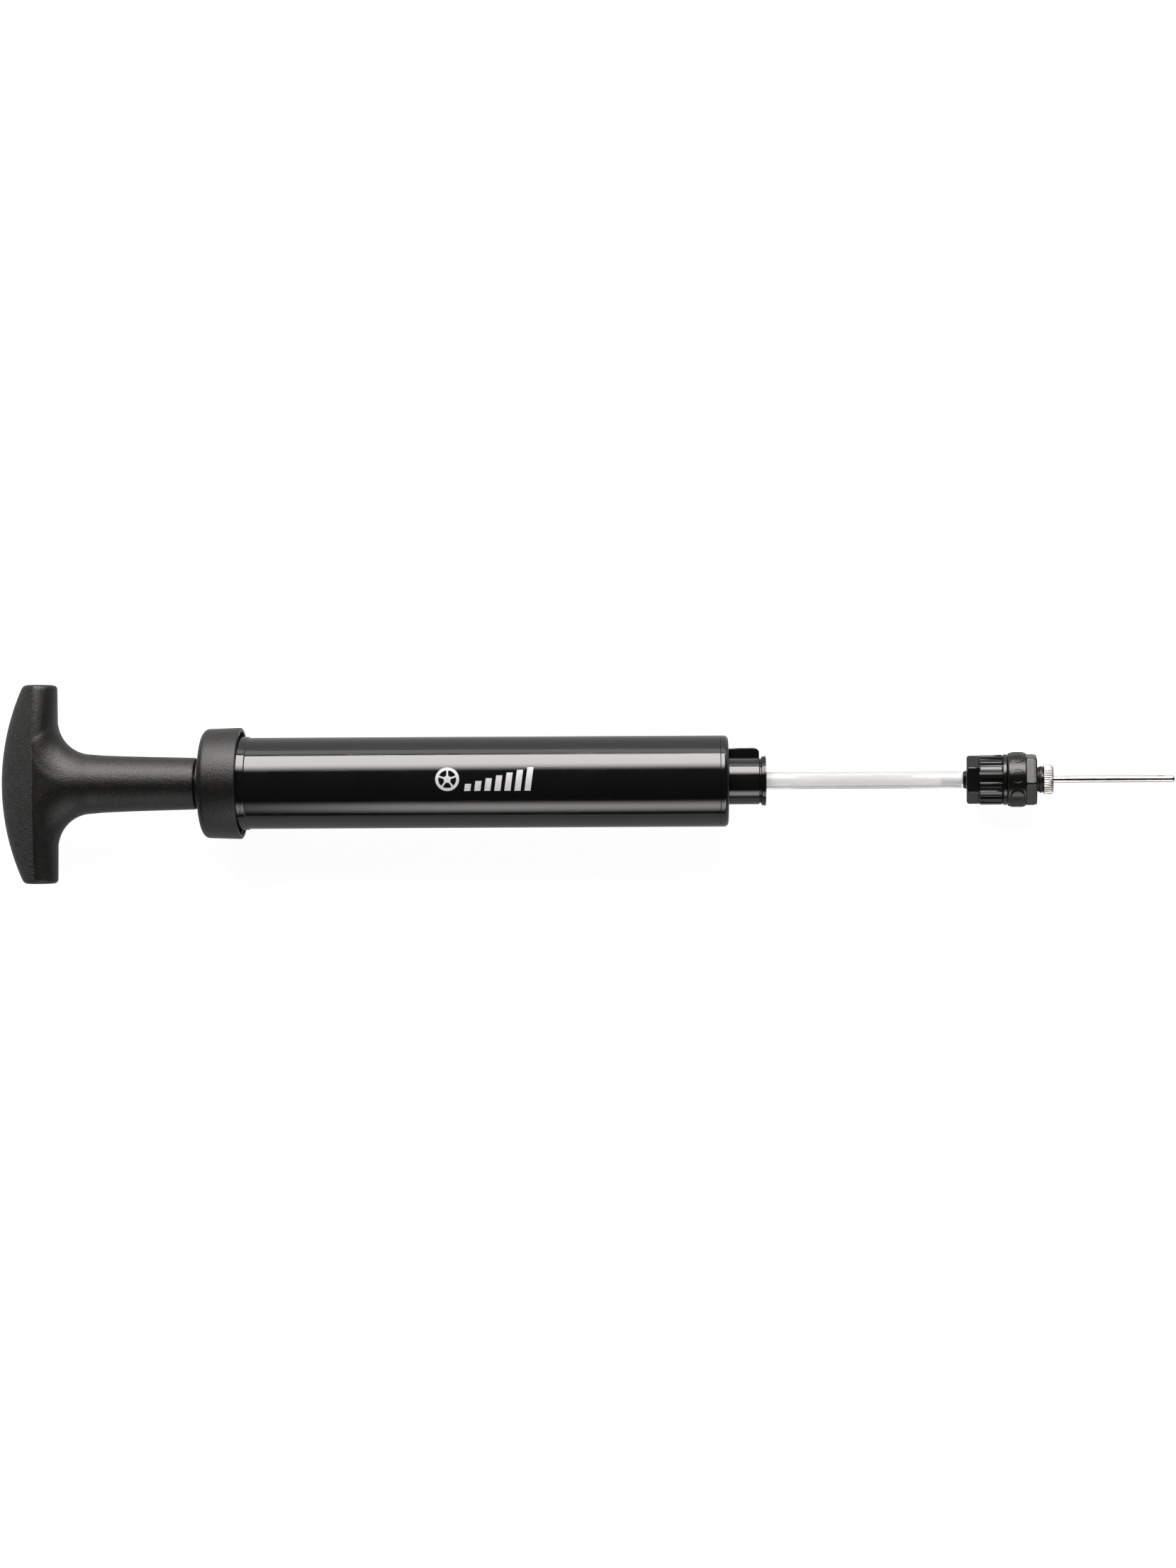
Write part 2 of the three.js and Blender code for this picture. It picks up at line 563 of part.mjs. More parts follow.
// The needle's hub: a screw thread, a neck for the washer and a knurled grip.
function needleHubShape() {
  const { threadStart, threadEnd, threadRadius, threadDepth, pitch, neck } = NEEDLE;
  const { knurlStart, knurlEnd, knurl, knurlDepth, teeth, radius } = NEEDLE;
  const root = threadRadius - threadDepth;
  const core = turned(
    [[threadStart, 0], [threadStart, root - 0.2], [threadStart + 0.4, root], [threadEnd, root],
      [threadEnd, neck], [knurlStart + 0.1, neck], [knurlStart + 0.1, 0]], SMALL);
  const tooth = [[-0.34, -0.15], [0.34, -0.15], [0.06, threadDepth], [-0.06, threadDepth]];
  const turns = (threadEnd - threadStart - 1.2) / pitch;
  const thread = helix(tooth, root, pitch, threadStart + 0.6, turns, 12);
  const wave = Array.from({ length: 2 * teeth }, (_, i) => {
    const a = (i * Math.PI) / teeth;
    const r = i % 2 ? knurl - knurlDepth : knurl;
    return [r * Math.cos(a), r * Math.sin(a)];
  });
  const grip = prism(wave, knurlStart, knurlEnd);
  const chamfer = turned(
    [[knurlStart, 0], [knurlStart, knurl - 0.5], [knurlStart + 0.5, knurl + 0.1],
      [knurlEnd - 0.3, knurl + 0.1], [knurlEnd, knurl - 0.3], [knurlEnd, 0]]);
  const tool = radius + 0.08;
  const bore = turned(
    [[threadStart - 1, 0], [threadStart - 1, tool], [knurlEnd + 1, tool], [knurlEnd + 1, 0]], 16);
  const knob = solid(grip).intersect(solid(chamfer));
  return skin(solid(core).add(solid(thread)).add(knob).subtract(solid(bore)));
}

// A thin tube, closed and rounded at its tip, with one long air hole in its side.
function needleTubeShape() {
  const { radius, bore, tip, tubeStart } = NEEDLE;
  const tube = turned(
    [[tubeStart, bore], [tubeStart, radius], ...arc(tip - 0.6, 0.4, 0.6, radius - 0.4, 90, 0, 3),
      [tip, 0], [tip - 0.8, 0], [tip - 0.8, bore]], 16);
  const hole = turned([[0, 0], [0, 0.45], [2, 0.45], [2, 0]], 12)
    .rotateZ(Math.PI / 2)
    .scale(2.1, 1, 1)
    .translate(tip - 4.1, 0, 0)
    .rotateX(radians(18));
  return cut(tube, hole);
}

// ---- the assembly -------------------------------------------------------------------------

const pump = new THREE.Group();
const body = new THREE.Group();
body.position.set(0, 0, AXIS_Z);
const head = new THREE.Group();
head.position.set(HEAD.x, 0, HEAD.z);
head.rotation.y = -radians(HEAD.tilt);
pump.add(body, head);

function place(group, name, geometry, look) {
  const mesh = new THREE.Mesh(geometry, look);
  mesh.name = name;
  group.add(mesh);
}

place(body, "handle", handleShape(), grainedBlack);
place(body, "piston_rod", rodShape(), aluminium);
place(body, "rod_plug", rodPlugShape(), nylon);
place(body, "piston", pistonShape(), nylon);
place(body, "piston_ring", pistonRingShape(), rubber);
place(body, "piston_screw", pistonScrewShape(), steel);
place(body, "screw_washer", washerShape(SCREW_WASHER), steel);
place(body, "stop_bumper", softRingShape(BUMPER), rubber);

place(body, "barrel_tube", barrelShape(), glossBlack);
place(body, "barrel_cap", capShape(), grainedBlack);
place(body, "rod_bushing", bushShape(), glossBlack);
place(body, "rod_wiper", washerShape(WIPER), rubber);
place(body, "end_cap", endCapShape(), glossBlack);
place(body, "valve_seat", washerShape(VALVE_SEAT), rubber);
place(body, "check_ball", ballShape(), steel);
place(body, "check_spring", springShape(), steel);
place(body, "outlet_seal", softRingShape(OUTLET_SEAL), rubber);
place(body, "outlet_ring", outletRingShape(), glossBlack);
place(body, "hose", hoseShape(), clearHose);

place(head, "hose_collar", collarShape(), headBlack);
place(head, "hose_barb", barbShape(), nylon);
place(head, "head_body", headBodyShape(), headBlack);
place(head, "head_seal", washerShape(HEAD_SEAL), rubber);
place(head, "grommet", softRingShape(GROMMET), rubber);
place(head, "clamp_nut", clampNutShape(), headBlack);
place(head, "needle_washer", softRingShape(NEEDLE_WASHER), rubber);
place(head, "needle_hub", needleHubShape(), nickel);
place(head, "needle_tube", needleTubeShape(), steel);

export default pump;
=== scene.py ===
# Looks of the hand-held ball pump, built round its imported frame.
# Sizes are in millimetres unless a name says otherwise; Blender objects are in metres.
import json
import math

import bmesh
import bpy
import numpy as np
from mathutils import Matrix, Vector


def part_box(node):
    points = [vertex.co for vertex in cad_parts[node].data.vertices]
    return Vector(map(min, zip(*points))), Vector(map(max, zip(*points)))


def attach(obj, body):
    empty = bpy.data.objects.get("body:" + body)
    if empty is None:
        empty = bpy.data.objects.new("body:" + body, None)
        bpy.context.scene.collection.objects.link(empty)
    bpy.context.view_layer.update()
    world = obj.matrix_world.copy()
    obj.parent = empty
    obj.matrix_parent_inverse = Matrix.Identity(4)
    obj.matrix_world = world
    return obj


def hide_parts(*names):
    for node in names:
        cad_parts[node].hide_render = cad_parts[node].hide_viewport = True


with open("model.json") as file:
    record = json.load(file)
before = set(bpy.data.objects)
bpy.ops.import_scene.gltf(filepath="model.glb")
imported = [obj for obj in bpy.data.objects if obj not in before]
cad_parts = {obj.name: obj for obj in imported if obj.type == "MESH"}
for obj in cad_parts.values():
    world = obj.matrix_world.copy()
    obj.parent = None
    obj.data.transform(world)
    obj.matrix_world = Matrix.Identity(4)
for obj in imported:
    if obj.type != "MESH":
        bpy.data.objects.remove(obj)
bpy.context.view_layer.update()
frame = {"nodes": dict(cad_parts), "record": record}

MM = 0.001


def span(node):
    """The lowest and highest corners of a CAD node, in millimetres."""
    low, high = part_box(node)
    return low / MM, high / MM


CAP_LOW, CAP_HIGH = span("barrel_cap")
HANDLE_LOW, HANDLE_HIGH = span("handle")
BARREL_LOW, BARREL_HIGH = span("barrel_tube")
END_LOW, END_HIGH = span("end_cap")
OUTLET_LOW, OUTLET_HIGH = span("outlet_ring")

AXIS_Z = (CAP_LOW.z + CAP_HIGH.z) / 2  # height of the pump's axis


def head_place():
    """The head's own frame: its origin is where the hose ends, and its X axis is the nut's."""
    nut = next(j for j in frame["record"]["behaviour"]["joints"] if j["name"] == "nut_turn")
    axis = Vector(nut["axis"])
    tilt = math.atan2(axis.z, axis.x)
    return Matrix.Translation(Vector(nut["pos_m"])) @ Matrix.Rotation(-tilt, 4, "Y")


HEAD_PLACE = head_place()


def head_span(node):
    """A CAD node's lowest and highest corners in the head's own frame, in millimetres."""
    back = HEAD_PLACE.inverted()
    points = np.array([back @ v.co for v in frame["nodes"][node].data.vertices]) / MM
    return Vector(points.min(axis=0)), Vector(points.max(axis=0))


# ---- meshes -------------------------------------------------------------------------------


def add_object(name, points, faces, sharp_degrees=38):
    """A closed mesh object from points in millimetres, with its faces turned outwards."""
    mesh = bpy.data.meshes.new(name)
    mesh.from_pydata([tuple(p) for p in np.asarray(points) * MM], [], faces)
    obj = bpy.data.objects.new(name, mesh)
    bpy.context.scene.collection.objects.link(obj)
    clean(obj, sharp_degrees)
    return obj


def clean(obj, sharp_degrees=38):
    """Merges doubled points, turns the faces outwards and shades smooth except at sharp edges."""
    work = bmesh.new()
    work.from_mesh(obj.data)
    bmesh.ops.remove_doubles(work, verts=work.verts, dist=1e-7)
    bmesh.ops.recalc_face_normals(work, faces=work.faces)
    if work.calc_volume(signed=True) < 0:
        bmesh.ops.reverse_faces(work, faces=work.faces)
    work.to_mesh(obj.data)
    work.free()
    for polygon in obj.data.polygons:
        polygon.use_smooth = True
    obj.data.set_sharp_from_angle(angle=math.radians(sharp_degrees))


def rounded(corners, steps=4):
    """An outline of (x, radius) points, with each (x, radius, rounding) corner made an arc."""
    outline = []
    for i, corner in enumerate(corners):
        point = np.array(corner[:2], float)
        rounding = corner[2] if len(corner) > 2 else 0
        if not rounding:
            outline.append(tuple(point))
            continue
        before = np.array(corners[i - 1][:2]) - point
        after = np.array(corners[(i + 1) % len(corners)][:2]) - point
        before /= np.linalg.norm(before)
        after /= np.linalg.norm(after)
        half = math.acos(np.clip(before @ after, -1, 1)) / 2
        inwards = (before + after) / np.linalg.norm(before + after)
        centre = point + inwards * rounding / math.sin(half)
        start, end = (point + side * rounding / math.tan(half) - centre for side in (before, after))
        turn = math.atan2(start[0] * end[1] - start[1] * end[0], start @ end)
        for k in range(steps + 1):
            a = turn * k / steps
            cos, sin = math.cos(a), math.sin(a)
            outline.append((centre[0] + cos * start[0] - sin * start[1],
                            centre[1] + sin * start[0] + cos * start[1]))
    return outline


def around(sides):
    """The angles of a round's sides, from +Y towards +Z."""
    return np.arange(sides) * 2 * math.pi / sides


def spun(name, rows, height, sides=128, sharp_degrees=38):
    """A solid round an axis along X at this height. Each row is (x, radius), and a radius may
    be an array with one value for each side."""
    angles = around(sides)
    points, faces, rings = [], [], []
    for x, radius in rows:
        if np.isscalar(radius) and radius <= 0:
            rings.append([len(points)] * sides)
            points.append((x, 0, height))
            continue
        radii = np.broadcast_to(radius, sides)
        rings.append(list(range(len(points), len(points) + sides)))
        across, up = radii * np.cos(angles), radii * np.sin(angles)
        points += list(zip(np.full(sides, x), across, height + up))
    on_axis = len(set(rings[0])) == 1 and len(set(rings[-1])) == 1
    pairs = list(zip(rings, rings[1:])) + ([] if on_axis else [(rings[-1], rings[0])])
    for ring, following in pairs:
        for j in range(sides):
            k = (j + 1) % sides
            face = dict.fromkeys([ring[j], ring[k], following[k], following[j]])
            if len(face) > 2:
                faces.append(tuple(face))
    return add_object(name, points, faces, sharp_degrees)


def loft(name, rings, sharp_degrees=38):
    """A closed skin over rings of points, with a fan at each end."""
    rings = np.asarray(rings, float)
    count, size = rings.shape[:2]
    points = list(rings.reshape(-1, 3)) + [rings[0].mean(0), rings[-1].mean(0)]
    faces = []
    for i in range(count - 1):
        for j in range(size):
            k = (j + 1) % size
            faces.append((i * size + j, i * size + k, (i + 1) * size + k, (i + 1) * size + j))
    last = (count - 1) * size
    for j in range(size):
        k = (j + 1) % size
        faces.append((k, j, count * size))
        faces.append((last + j, last + k, count * size + 1))
    return add_object(name, points, faces, sharp_degrees)


def plate(name, outline, low, high, bevel):
    """A flat plate with an outline of (x, y) points, from one height to another."""
    size = len(outline)
    points = [(x, y, z) for z in (low, high) for x, y in outline]
    faces = [tuple(range(size))[::-1], tuple(range(size, 2 * size))]
    faces += [(i, (i + 1) % size, size + (i + 1) % size, size + i) for i in range(size)]
    obj = add_object(name, points, faces)
    rounding = obj.modifiers.new("rounding", "BEVEL")
    rounding.width = bevel * MM
    rounding.segments = 3
    rounding.limit_method = "ANGLE"
    bake_modifiers(obj)
    return obj


def bake_modifiers(obj):
    """Replaces the object's mesh with what its modifiers make of it."""
    depsgraph = bpy.context.evaluated_depsgraph_get()
    mesh = bpy.data.meshes.new_from_object(obj.evaluated_get(depsgraph))
    obj.modifiers.clear()
    old, obj.data = obj.data, mesh
    mesh.name = obj.name
    bpy.data.meshes.remove(old)


def combine(obj, tool, operation, sharp_degrees=38):
    """Joins a tool object to obj, or cuts it away, and removes the tool."""
    cut = obj.modifiers.new("combine", "BOOLEAN")
    cut.operation = operation
    cut.object = tool
    cut.solver = "EXACT"
    bake_modifiers(obj)
    bpy.data.objects.remove(tool)
    clean(obj, sharp_degrees)


def smooth_curve(points, per_span):
    """Points along a Catmull-Rom curve through the given points."""
    p = np.asarray(points, float)
    p = np.vstack([2 * p[0] - p[1], p, 2 * p[-1] - p[-2]])
    t = np.linspace(0, 1, per_span, endpoint=False)[:, None]
    curve = [
        0.5 * (2 * b + (c - a) * t + (2 * a - 5 * b + 4 * c - d) * t**2
               + (3 * b - a - 3 * c + d) * t**3)
        for a, b, c, d in zip(p, p[1:], p[2:], p[3:])
    ]
    return np.vstack(curve + [p[-2:-1]])


# ---- materials ----------------------------------------------------------------------------

FLOOR_GLOW = {"seen": 0.93, "given": 0.3}  # what the camera sees, and what reflections see


class Look:
    """A procedural material round one Principled shader, with its texture set in the object."""

    def __init__(self, name, color, roughness, **settings):
        self.material = bpy.data.materials.new(name)
        self.material.use_nodes = True
        self.tree = self.material.node_tree
        self.shader = self.tree.nodes["Principled BSDF"]
        self.set("Base Color", (*color, 1))
        self.set("Roughness", roughness)
        for socket, value in settings.items():
            self.set(socket.replace("_", " "), value)
        self.place = self.tree.nodes.new("ShaderNodeTexCoord").outputs["Object"]
        self.height = None

    def set(self, socket, value):
        self.shader.inputs[socket].default_value = value

    def node(self, kind, links=None, **settings):
        node = self.tree.nodes.new(kind)
        for key, value in settings.items():
            setattr(node, key, value)
        for socket, source in (links or {}).items():
            if isinstance(source, bpy.types.NodeSocket):
                self.tree.links.new(source, node.inputs[socket])
            else:
                node.inputs[socket].default_value = source
        return node

    def stretched(self, stretch):
        """The object's place, squeezed so that a texture stretches the other way."""
        if stretch == (1, 1, 1):
            return self.place
        links = {"Vector": self.place, "Scale": stretch}
        return self.node("ShaderNodeMapping", links).outputs["Vector"]

    def noise(self, size_mm, detail=3.0, roughness=0.55, stretch=(1, 1, 1), warp=0.0):
        links = {"Vector": self.stretched(stretch), "Scale": 1000 / size_mm, "Detail": detail,
                 "Roughness": roughness, "Distortion": warp}
        return self.node("ShaderNodeTexNoise", links).outputs["Fac"]

    def range(self, value, low, high, to_low=0.0, to_high=1.0):
        links = {"Value": value, "From Min": low, "From Max": high}
        links |= {"To Min": to_low, "To Max": to_high}
        return self.node("ShaderNodeMapRange", links).outputs["Result"]

    def math(self, operation, a, b):
        return self.node("ShaderNodeMath", {0: a, 1: b}, operation=operation).outputs[0]

    def vary_color(self, value, dark, light):
        """Varies the colour from dark, where the value is 0, to light, where it is 1."""
        links = {0: value, 6: (*dark, 1), 7: (*light, 1)}  # the Mix node's factor and colours
        mix = self.node("ShaderNodeMix", links, data_type="RGBA")
        self.tree.links.new(mix.outputs[2], self.shader.inputs["Base Color"])

    def vary_roughness(self, value, low, high):
        ranged = self.range(value, 0.3, 0.7, low, high)
        self.tree.links.new(ranged, self.shader.inputs["Roughness"])

    def bump(self, height, depth_mm, strength=1.0):
        """Adds relief of this depth on top of the relief that the material already has."""
        links = {"Height": height, "Distance": depth_mm * MM, "Strength": strength}
        if self.height is not None:
            links["Normal"] = self.height
        self.height = self.node("ShaderNodeBump", links).outputs["Normal"]
        self.tree.links.new(self.height, self.shader.inputs["Normal"])


def grained_black(name="grained_black", leather_from_x=None):
    """Black plastic with a fine spark-eroded grain that breaks its highlights into speckles.
    Where x is below leather_from_x, in millimetres, it has a stronger, leathery grain."""
    look = Look(name, (0.004, 0.0038, 0.0036), 0.3, Specular_IOR_Level=0.38)
    pits = look.noise(0.42, detail=5, roughness=0.7)
    mottle = look.noise(7, detail=3)
    look.vary_color(mottle, (0.003, 0.0028, 0.0027), (0.006, 0.0057, 0.0054))
    look.vary_roughness(pits, 0.24, 0.38)
    look.bump(pits, 0.13)
    if leather_from_x is not None:
        parts = look.node("ShaderNodeSeparateXYZ", {"Vector": look.place})
        share = look.range(parts.outputs["X"], (leather_from_x + 0.6) * MM, leather_from_x * MM)
        leather = look.noise(0.6, detail=6, roughness=0.75, warp=0.8)
        look.bump(look.math("MULTIPLY", leather, share), 0.5)
    return look.material


def gloss_black():
    """High-gloss black plastic, with hairline scratches and a faint waviness."""
    look = Look("gloss_black", (0.003, 0.003, 0.0032), 0.08)
    wave = look.noise(16, detail=1, stretch=(0.35, 1, 1))
    hairlines = look.noise(0.5, detail=6, stretch=(0.04, 1, 1))
    smudge = look.noise(12, detail=4, warp=1.5)
    look.vary_roughness(smudge, 0.05, 0.12)
    look.vary_color(smudge, (0.0025, 0.0025, 0.0028), (0.0045, 0.0045, 0.0048))
    look.bump(wave, 0.07)
    look.bump(look.range(hairlines, 0.62, 0.75), 0.004)
    return look.material


def head_black():
    """Glossy moulded black plastic."""
    look = Look("head_black", (0.003, 0.003, 0.003), 0.15, Specular_IOR_Level=0.42)
    flow = look.noise(3, detail=3)
    fine = look.noise(0.3, detail=4)
    look.vary_roughness(flow, 0.12, 0.2)
    look.vary_color(flow, (0.0026, 0.0026, 0.0026), (0.0045, 0.0045, 0.0045))
    look.bump(fine, 0.008)
    return look.material


def nut_black():
    """The same plastic with a finely sparked surface."""
    look = Look("nut_black", (0.0035, 0.0035, 0.0035), 0.2, Specular_IOR_Level=0.34)
    spark = look.noise(0.34, detail=5, roughness=0.7)
    flow = look.noise(4)
    look.vary_roughness(spark, 0.12, 0.24)
    look.vary_color(flow, (0.003, 0.003, 0.003), (0.0055, 0.0055, 0.0053))
    look.bump(spark, 0.045)
    return look.material


def soft_rubber():
    """Black rubber with a faint bloom."""
    look = Look("soft_rubber", (0.006, 0.006, 0.006), 0.45, Specular_IOR_Level=0.3)
    bloom = look.noise(2.5, detail=4)
    look.vary_color(bloom, (0.004, 0.004, 0.004), (0.01, 0.01, 0.0095))
    look.vary_roughness(bloom, 0.36, 0.52)
    look.bump(look.noise(0.2), 0.012)
    return look.material


def milky_hose():
    """Soft clear plastic with a milky cast."""
    look = Look("milky_hose", (0.9, 0.905, 0.91), 0.2, Transmission_Weight=0.8, IOR=1.33)
    streaks = look.noise(0.9, detail=3, stretch=(0.06, 1, 1))
    look.vary_color(streaks, (0.86, 0.865, 0.87), (0.94, 0.942, 0.945))
    look.vary_roughness(streaks, 0.16, 0.24)
    look.bump(streaks, 0.003)
    return look.material


def bright_nickel():
    """Nickel plate with faint turning marks."""
    look = Look("bright_nickel", (0.64, 0.625, 0.6), 0.18, Metallic=1.0)
    marks = look.noise(0.12, detail=3, stretch=(1, 0.05, 0.05))
    tarnish = look.noise(2.2, detail=4)
    look.vary_color(tarnish, (0.56, 0.54, 0.51), (0.7, 0.685, 0.665))
    look.vary_roughness(tarnish, 0.12, 0.26)
    look.bump(marks, 0.003)
    return look.material


def drawn_aluminium():
    """Aluminium tube with fine lines along its length."""
    look = Look("drawn_aluminium", (0.73, 0.74, 0.75), 0.26, Metallic=1.0)
    lines = look.noise(0.35, detail=5, stretch=(0.02, 1, 1))
    oil = look.noise(8, detail=3, warp=1)
    look.vary_color(oil, (0.64, 0.65, 0.66), (0.78, 0.79, 0.8))
    look.vary_roughness(lines, 0.18, 0.36)
    look.bump(lines, 0.006)
    return look.material


def polished_steel():
    """Bright steel under a thin film of oil."""
    look = Look("polished_steel", (0.6, 0.6, 0.61), 0.14, Metallic=1.0)
    film = look.noise(1.5, detail=4)
    look.vary_color(film, (0.52, 0.52, 0.53), (0.68, 0.68, 0.69))
    look.vary_roughness(film, 0.08, 0.22)
    look.bump(look.noise(0.15), 0.002)
    return look.material


def natural_nylon():
    """Off-white nylon with a slight cloudiness."""
    look = Look("natural_nylon", (0.74, 0.72, 0.65), 0.4, Subsurface_Weight=0.1)
    cloud = look.noise(4, detail=3)
    look.vary_color(cloud, (0.68, 0.66, 0.59), (0.79, 0.77, 0.71))
    look.vary_roughness(cloud, 0.34, 0.5)
    look.bump(look.noise(0.4), 0.01)
    return look.material


def silver_ink():
    """Pad-printed grey ink, thin enough for the print screen's specks to show."""
    look = Look("silver_ink", (0.42, 0.42, 0.43), 0.38)
    specks = look.noise(0.18, detail=4, roughness=0.7)
    look.vary_color(look.range(specks, 0.35, 0.62), (0.24, 0.24, 0.245), (0.56, 0.56, 0.57))
    look.vary_roughness(specks, 0.3, 0.46)
    look.bump(specks, 0.01)
    return look.material


def pale_floor():
    """A pale sheet, lit from below too, so that hardly any shadow shows on it. It looks brighter
    than the light that it gives, as a backdrop does once a studio picture is exposed for it."""
    look = Look("pale_floor", (0.2, 0.2, 0.2), 0.9)
    look.set("Emission Color", (1, 1, 1, 1))
    look.vary_color(look.noise(300), (0.19, 0.19, 0.19), (0.21, 0.21, 0.21))
    seen = look.node("ShaderNodeLightPath").outputs["Is Camera Ray"]
    glow = look.range(seen, 0, 1, FLOOR_GLOW["given"], FLOOR_GLOW["seen"])
    look.tree.links.new(glow, look.shader.inputs["Emission Strength"])
    return look.material


GRAINED, GLOSS, HEAD, NUT = grained_black(), gloss_black(), head_black(), nut_black()
RUBBER, HOSE, NICKEL, ALUMINIUM = soft_rubber(), milky_hose(), bright_nickel(), drawn_aluminium()
STEEL, NYLON, INK = polished_steel(), natural_nylon(), silver_ink()


def finish_piece(obj, look, body, slot, *nodes):
    """Gives a piece its material, puts it on its body, and hides the CAD nodes that it stands for.
    """
    obj.data.materials.clear()
    obj.data.materials.append(look)
    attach(obj, body)
    if nodes:
        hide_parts(*nodes)
    return obj


# ---- camera -------------------------------------------------------------------------------

CAMERA = {
    "distance": 837,  # above the pump's axis
    "x": 83,  # straight above this point of the axis
    "y": -0.8,
    "lens": 66.45,
    "shift_x": -0.0527,
    "roll_degrees": 0.29,
}


def add_camera():
    """A long lens straight above the pump, with the pump level across a tall picture."""
    data = bpy.data.cameras.new("camera")
    data.lens = CAMERA["lens"]
    data.sensor_width = 36
    data.sensor_fit = "AUTO"
    data.shift_x = CAMERA["shift_x"]
    data.clip_start = 0.01
    obj = bpy.data.objects.new("camera", data)
    bpy.context.scene.collection.objects.link(obj)
    obj.location = Vector((CAMERA["x"], CAMERA["y"], AXIS_Z + CAMERA["distance"])) * MM
    obj.rotation_euler = (0, 0, -math.radians(CAMERA["roll_degrees"]))
    bpy.context.scene.camera = obj


add_camera()

# ---- hose ---------------------------------------------------------------------------------

HOSE_DIAMETER = 5.1
HOSE_BORE = 3.2
# (x, z) points on the hose's centreline, in metres: out of the nozzle, down, and into the head.
HOSE_ROUTE = [
    (0.1075, 0.0161), (0.1105, 0.0161), (0.114, 0.0161), (0.1186, 0.01579), (0.1232, 0.01494),
    (0.1278, 0.0137), (0.1324, 0.01221), (0.137, 0.01062), (0.1416, 0.00907), (0.1462, 0.00771),
    (0.1508, 0.00667), (0.1554, 0.0061), (0.16, 0.00615), (0.16415, 0.0065), (0.16808, 0.00685),
]


def add_hose():
    """A tube with a wall, so that it looks hollow through its milky plastic."""
    route = smooth_curve([(x, 0, z) for x, z in HOSE_ROUTE], 4) / MM
    along = np.gradient(route, axis=0)
    along /= np.linalg.norm(along, axis=1)[:, None]
    side = np.array([0, 1, 0])
    up = np.cross(along, side)
    sides = 40
    angles = around(sides)[:, None]
    rows = []
    for radius in (HOSE_DIAMETER / 2, HOSE_BORE / 2):
        circles = [p + radius * (np.cos(angles) * side + np.sin(angles) * u)
                   for p, u in zip(route, up)]
        rows += circles if radius > HOSE_BORE / 2 else circles[::-1]
    points = np.vstack(rows)
    count = len(rows)
    faces = [
        (i * sides + j, i * sides + (j + 1) % sides,
         (i + 1) % count * sides + (j + 1) % sides, (i + 1) % count * sides + j)
        for i in range(count) for j in range(sides)
    ]
    hose = add_object("clear_hose", points, faces)
    length = np.linalg.norm(np.diff(route, axis=0), axis=1).sum() * MM
    return finish_piece(hose, HOSE, "barrel", "clear_hose", "hose"), route * MM, length


hose, hose_path, hose_length = add_hose()

# ---- plunger ------------------------------------------------------------------------------

HANDLE = {
    "palm_x": HANDLE_LOW.x, "finger_x": -94.25, "ridge_x": -100.0, "palm_arc": 68.0,
    "fillet": 10.0, "thick": 8.3, "tip_thick": 5.5, "end_rounding": 1.1,
    "stem": 8.6, "stem_end": 7.5, "stem_edge": 0.3, "bore": 4.35, "bore_start": -84,
}


def bar_thickness(y, half_span):
    """Half of the bar's height at y: it thins towards its tips."""
    return HANDLE["thick"] + (HANDLE["tip_thick"] - HANDLE["thick"]) * (y / half_span) ** 2


def bar_section(y, inset, half_span, points_a_side):
    """The bar's outline at y: a blunt palm side and a rounder finger side, with a soft crease."""
    h = HANDLE
    thick = bar_thickness(y, half_span)
    palm = h["palm_x"] + h["palm_arc"] - math.sqrt(h["palm_arc"] ** 2 - y**2)
    ridge, finger = h["ridge_x"], h["finger_x"]
    centre = ridge + 0.35 * (ridge - palm)
    reach = centre - palm
    lift = thick / math.sqrt(1 - ((centre - ridge) / reach) ** 2)
    ridge_angle = math.acos((centre - ridge) / reach)
    palm_angles = np.linspace(-ridge_angle, ridge_angle, points_a_side + 1)
    finger_angles = np.linspace(math.pi / 2, -math.pi / 2, points_a_side + 1)[1:-1]
    x = np.concatenate([centre - reach * np.cos(palm_angles),
                        ridge + (finger - ridge) * np.cos(finger_angles)])
    z = np.concatenate([lift * np.sin(palm_angles), thick * np.sin(finger_angles)])
    shrink = 1 - inset / thick
    return np.stack([ridge + (x - ridge) * shrink, np.full(len(x), y), AXIS_Z + z * shrink], 1)


def fillet_reach(x, y, z, half_span):
    """How far the fillet between bar and stem stands out from the stem, at this x, y and height."""
    h = HANDLE
    level = np.sqrt(np.clip(1 - (z / bar_thickness(y, half_span)) ** 2, 0, 1))
    bar = h["ridge_x"] + (h["finger_x"] - h["ridge_x"]) * level
    into = np.clip(bar + h["fillet"] - x, 0, h["fillet"])
    return h["fillet"] - np.sqrt(h["fillet"] ** 2 - into**2)


def grip_bar(half_span):
    """The cross bar, lofted from tip to tip with rounded ends."""
    rounding = HANDLE["end_rounding"]
    turns = np.radians(np.linspace(90, 0, 7))
    ends = [(half_span - rounding * (1 - math.sin(a)), rounding * (1 - math.cos(a))) for a in turns]
    middle = [(y, 0) for y in np.linspace(half_span - rounding, 0, 26)[1:]]
    upper = ends + middle
    profile = [(-y, inset) for y, inset in upper] + upper[::-1][1:]
    return loft("handle_grip", [bar_section(y, inset, half_span, 24) for y, inset in profile])


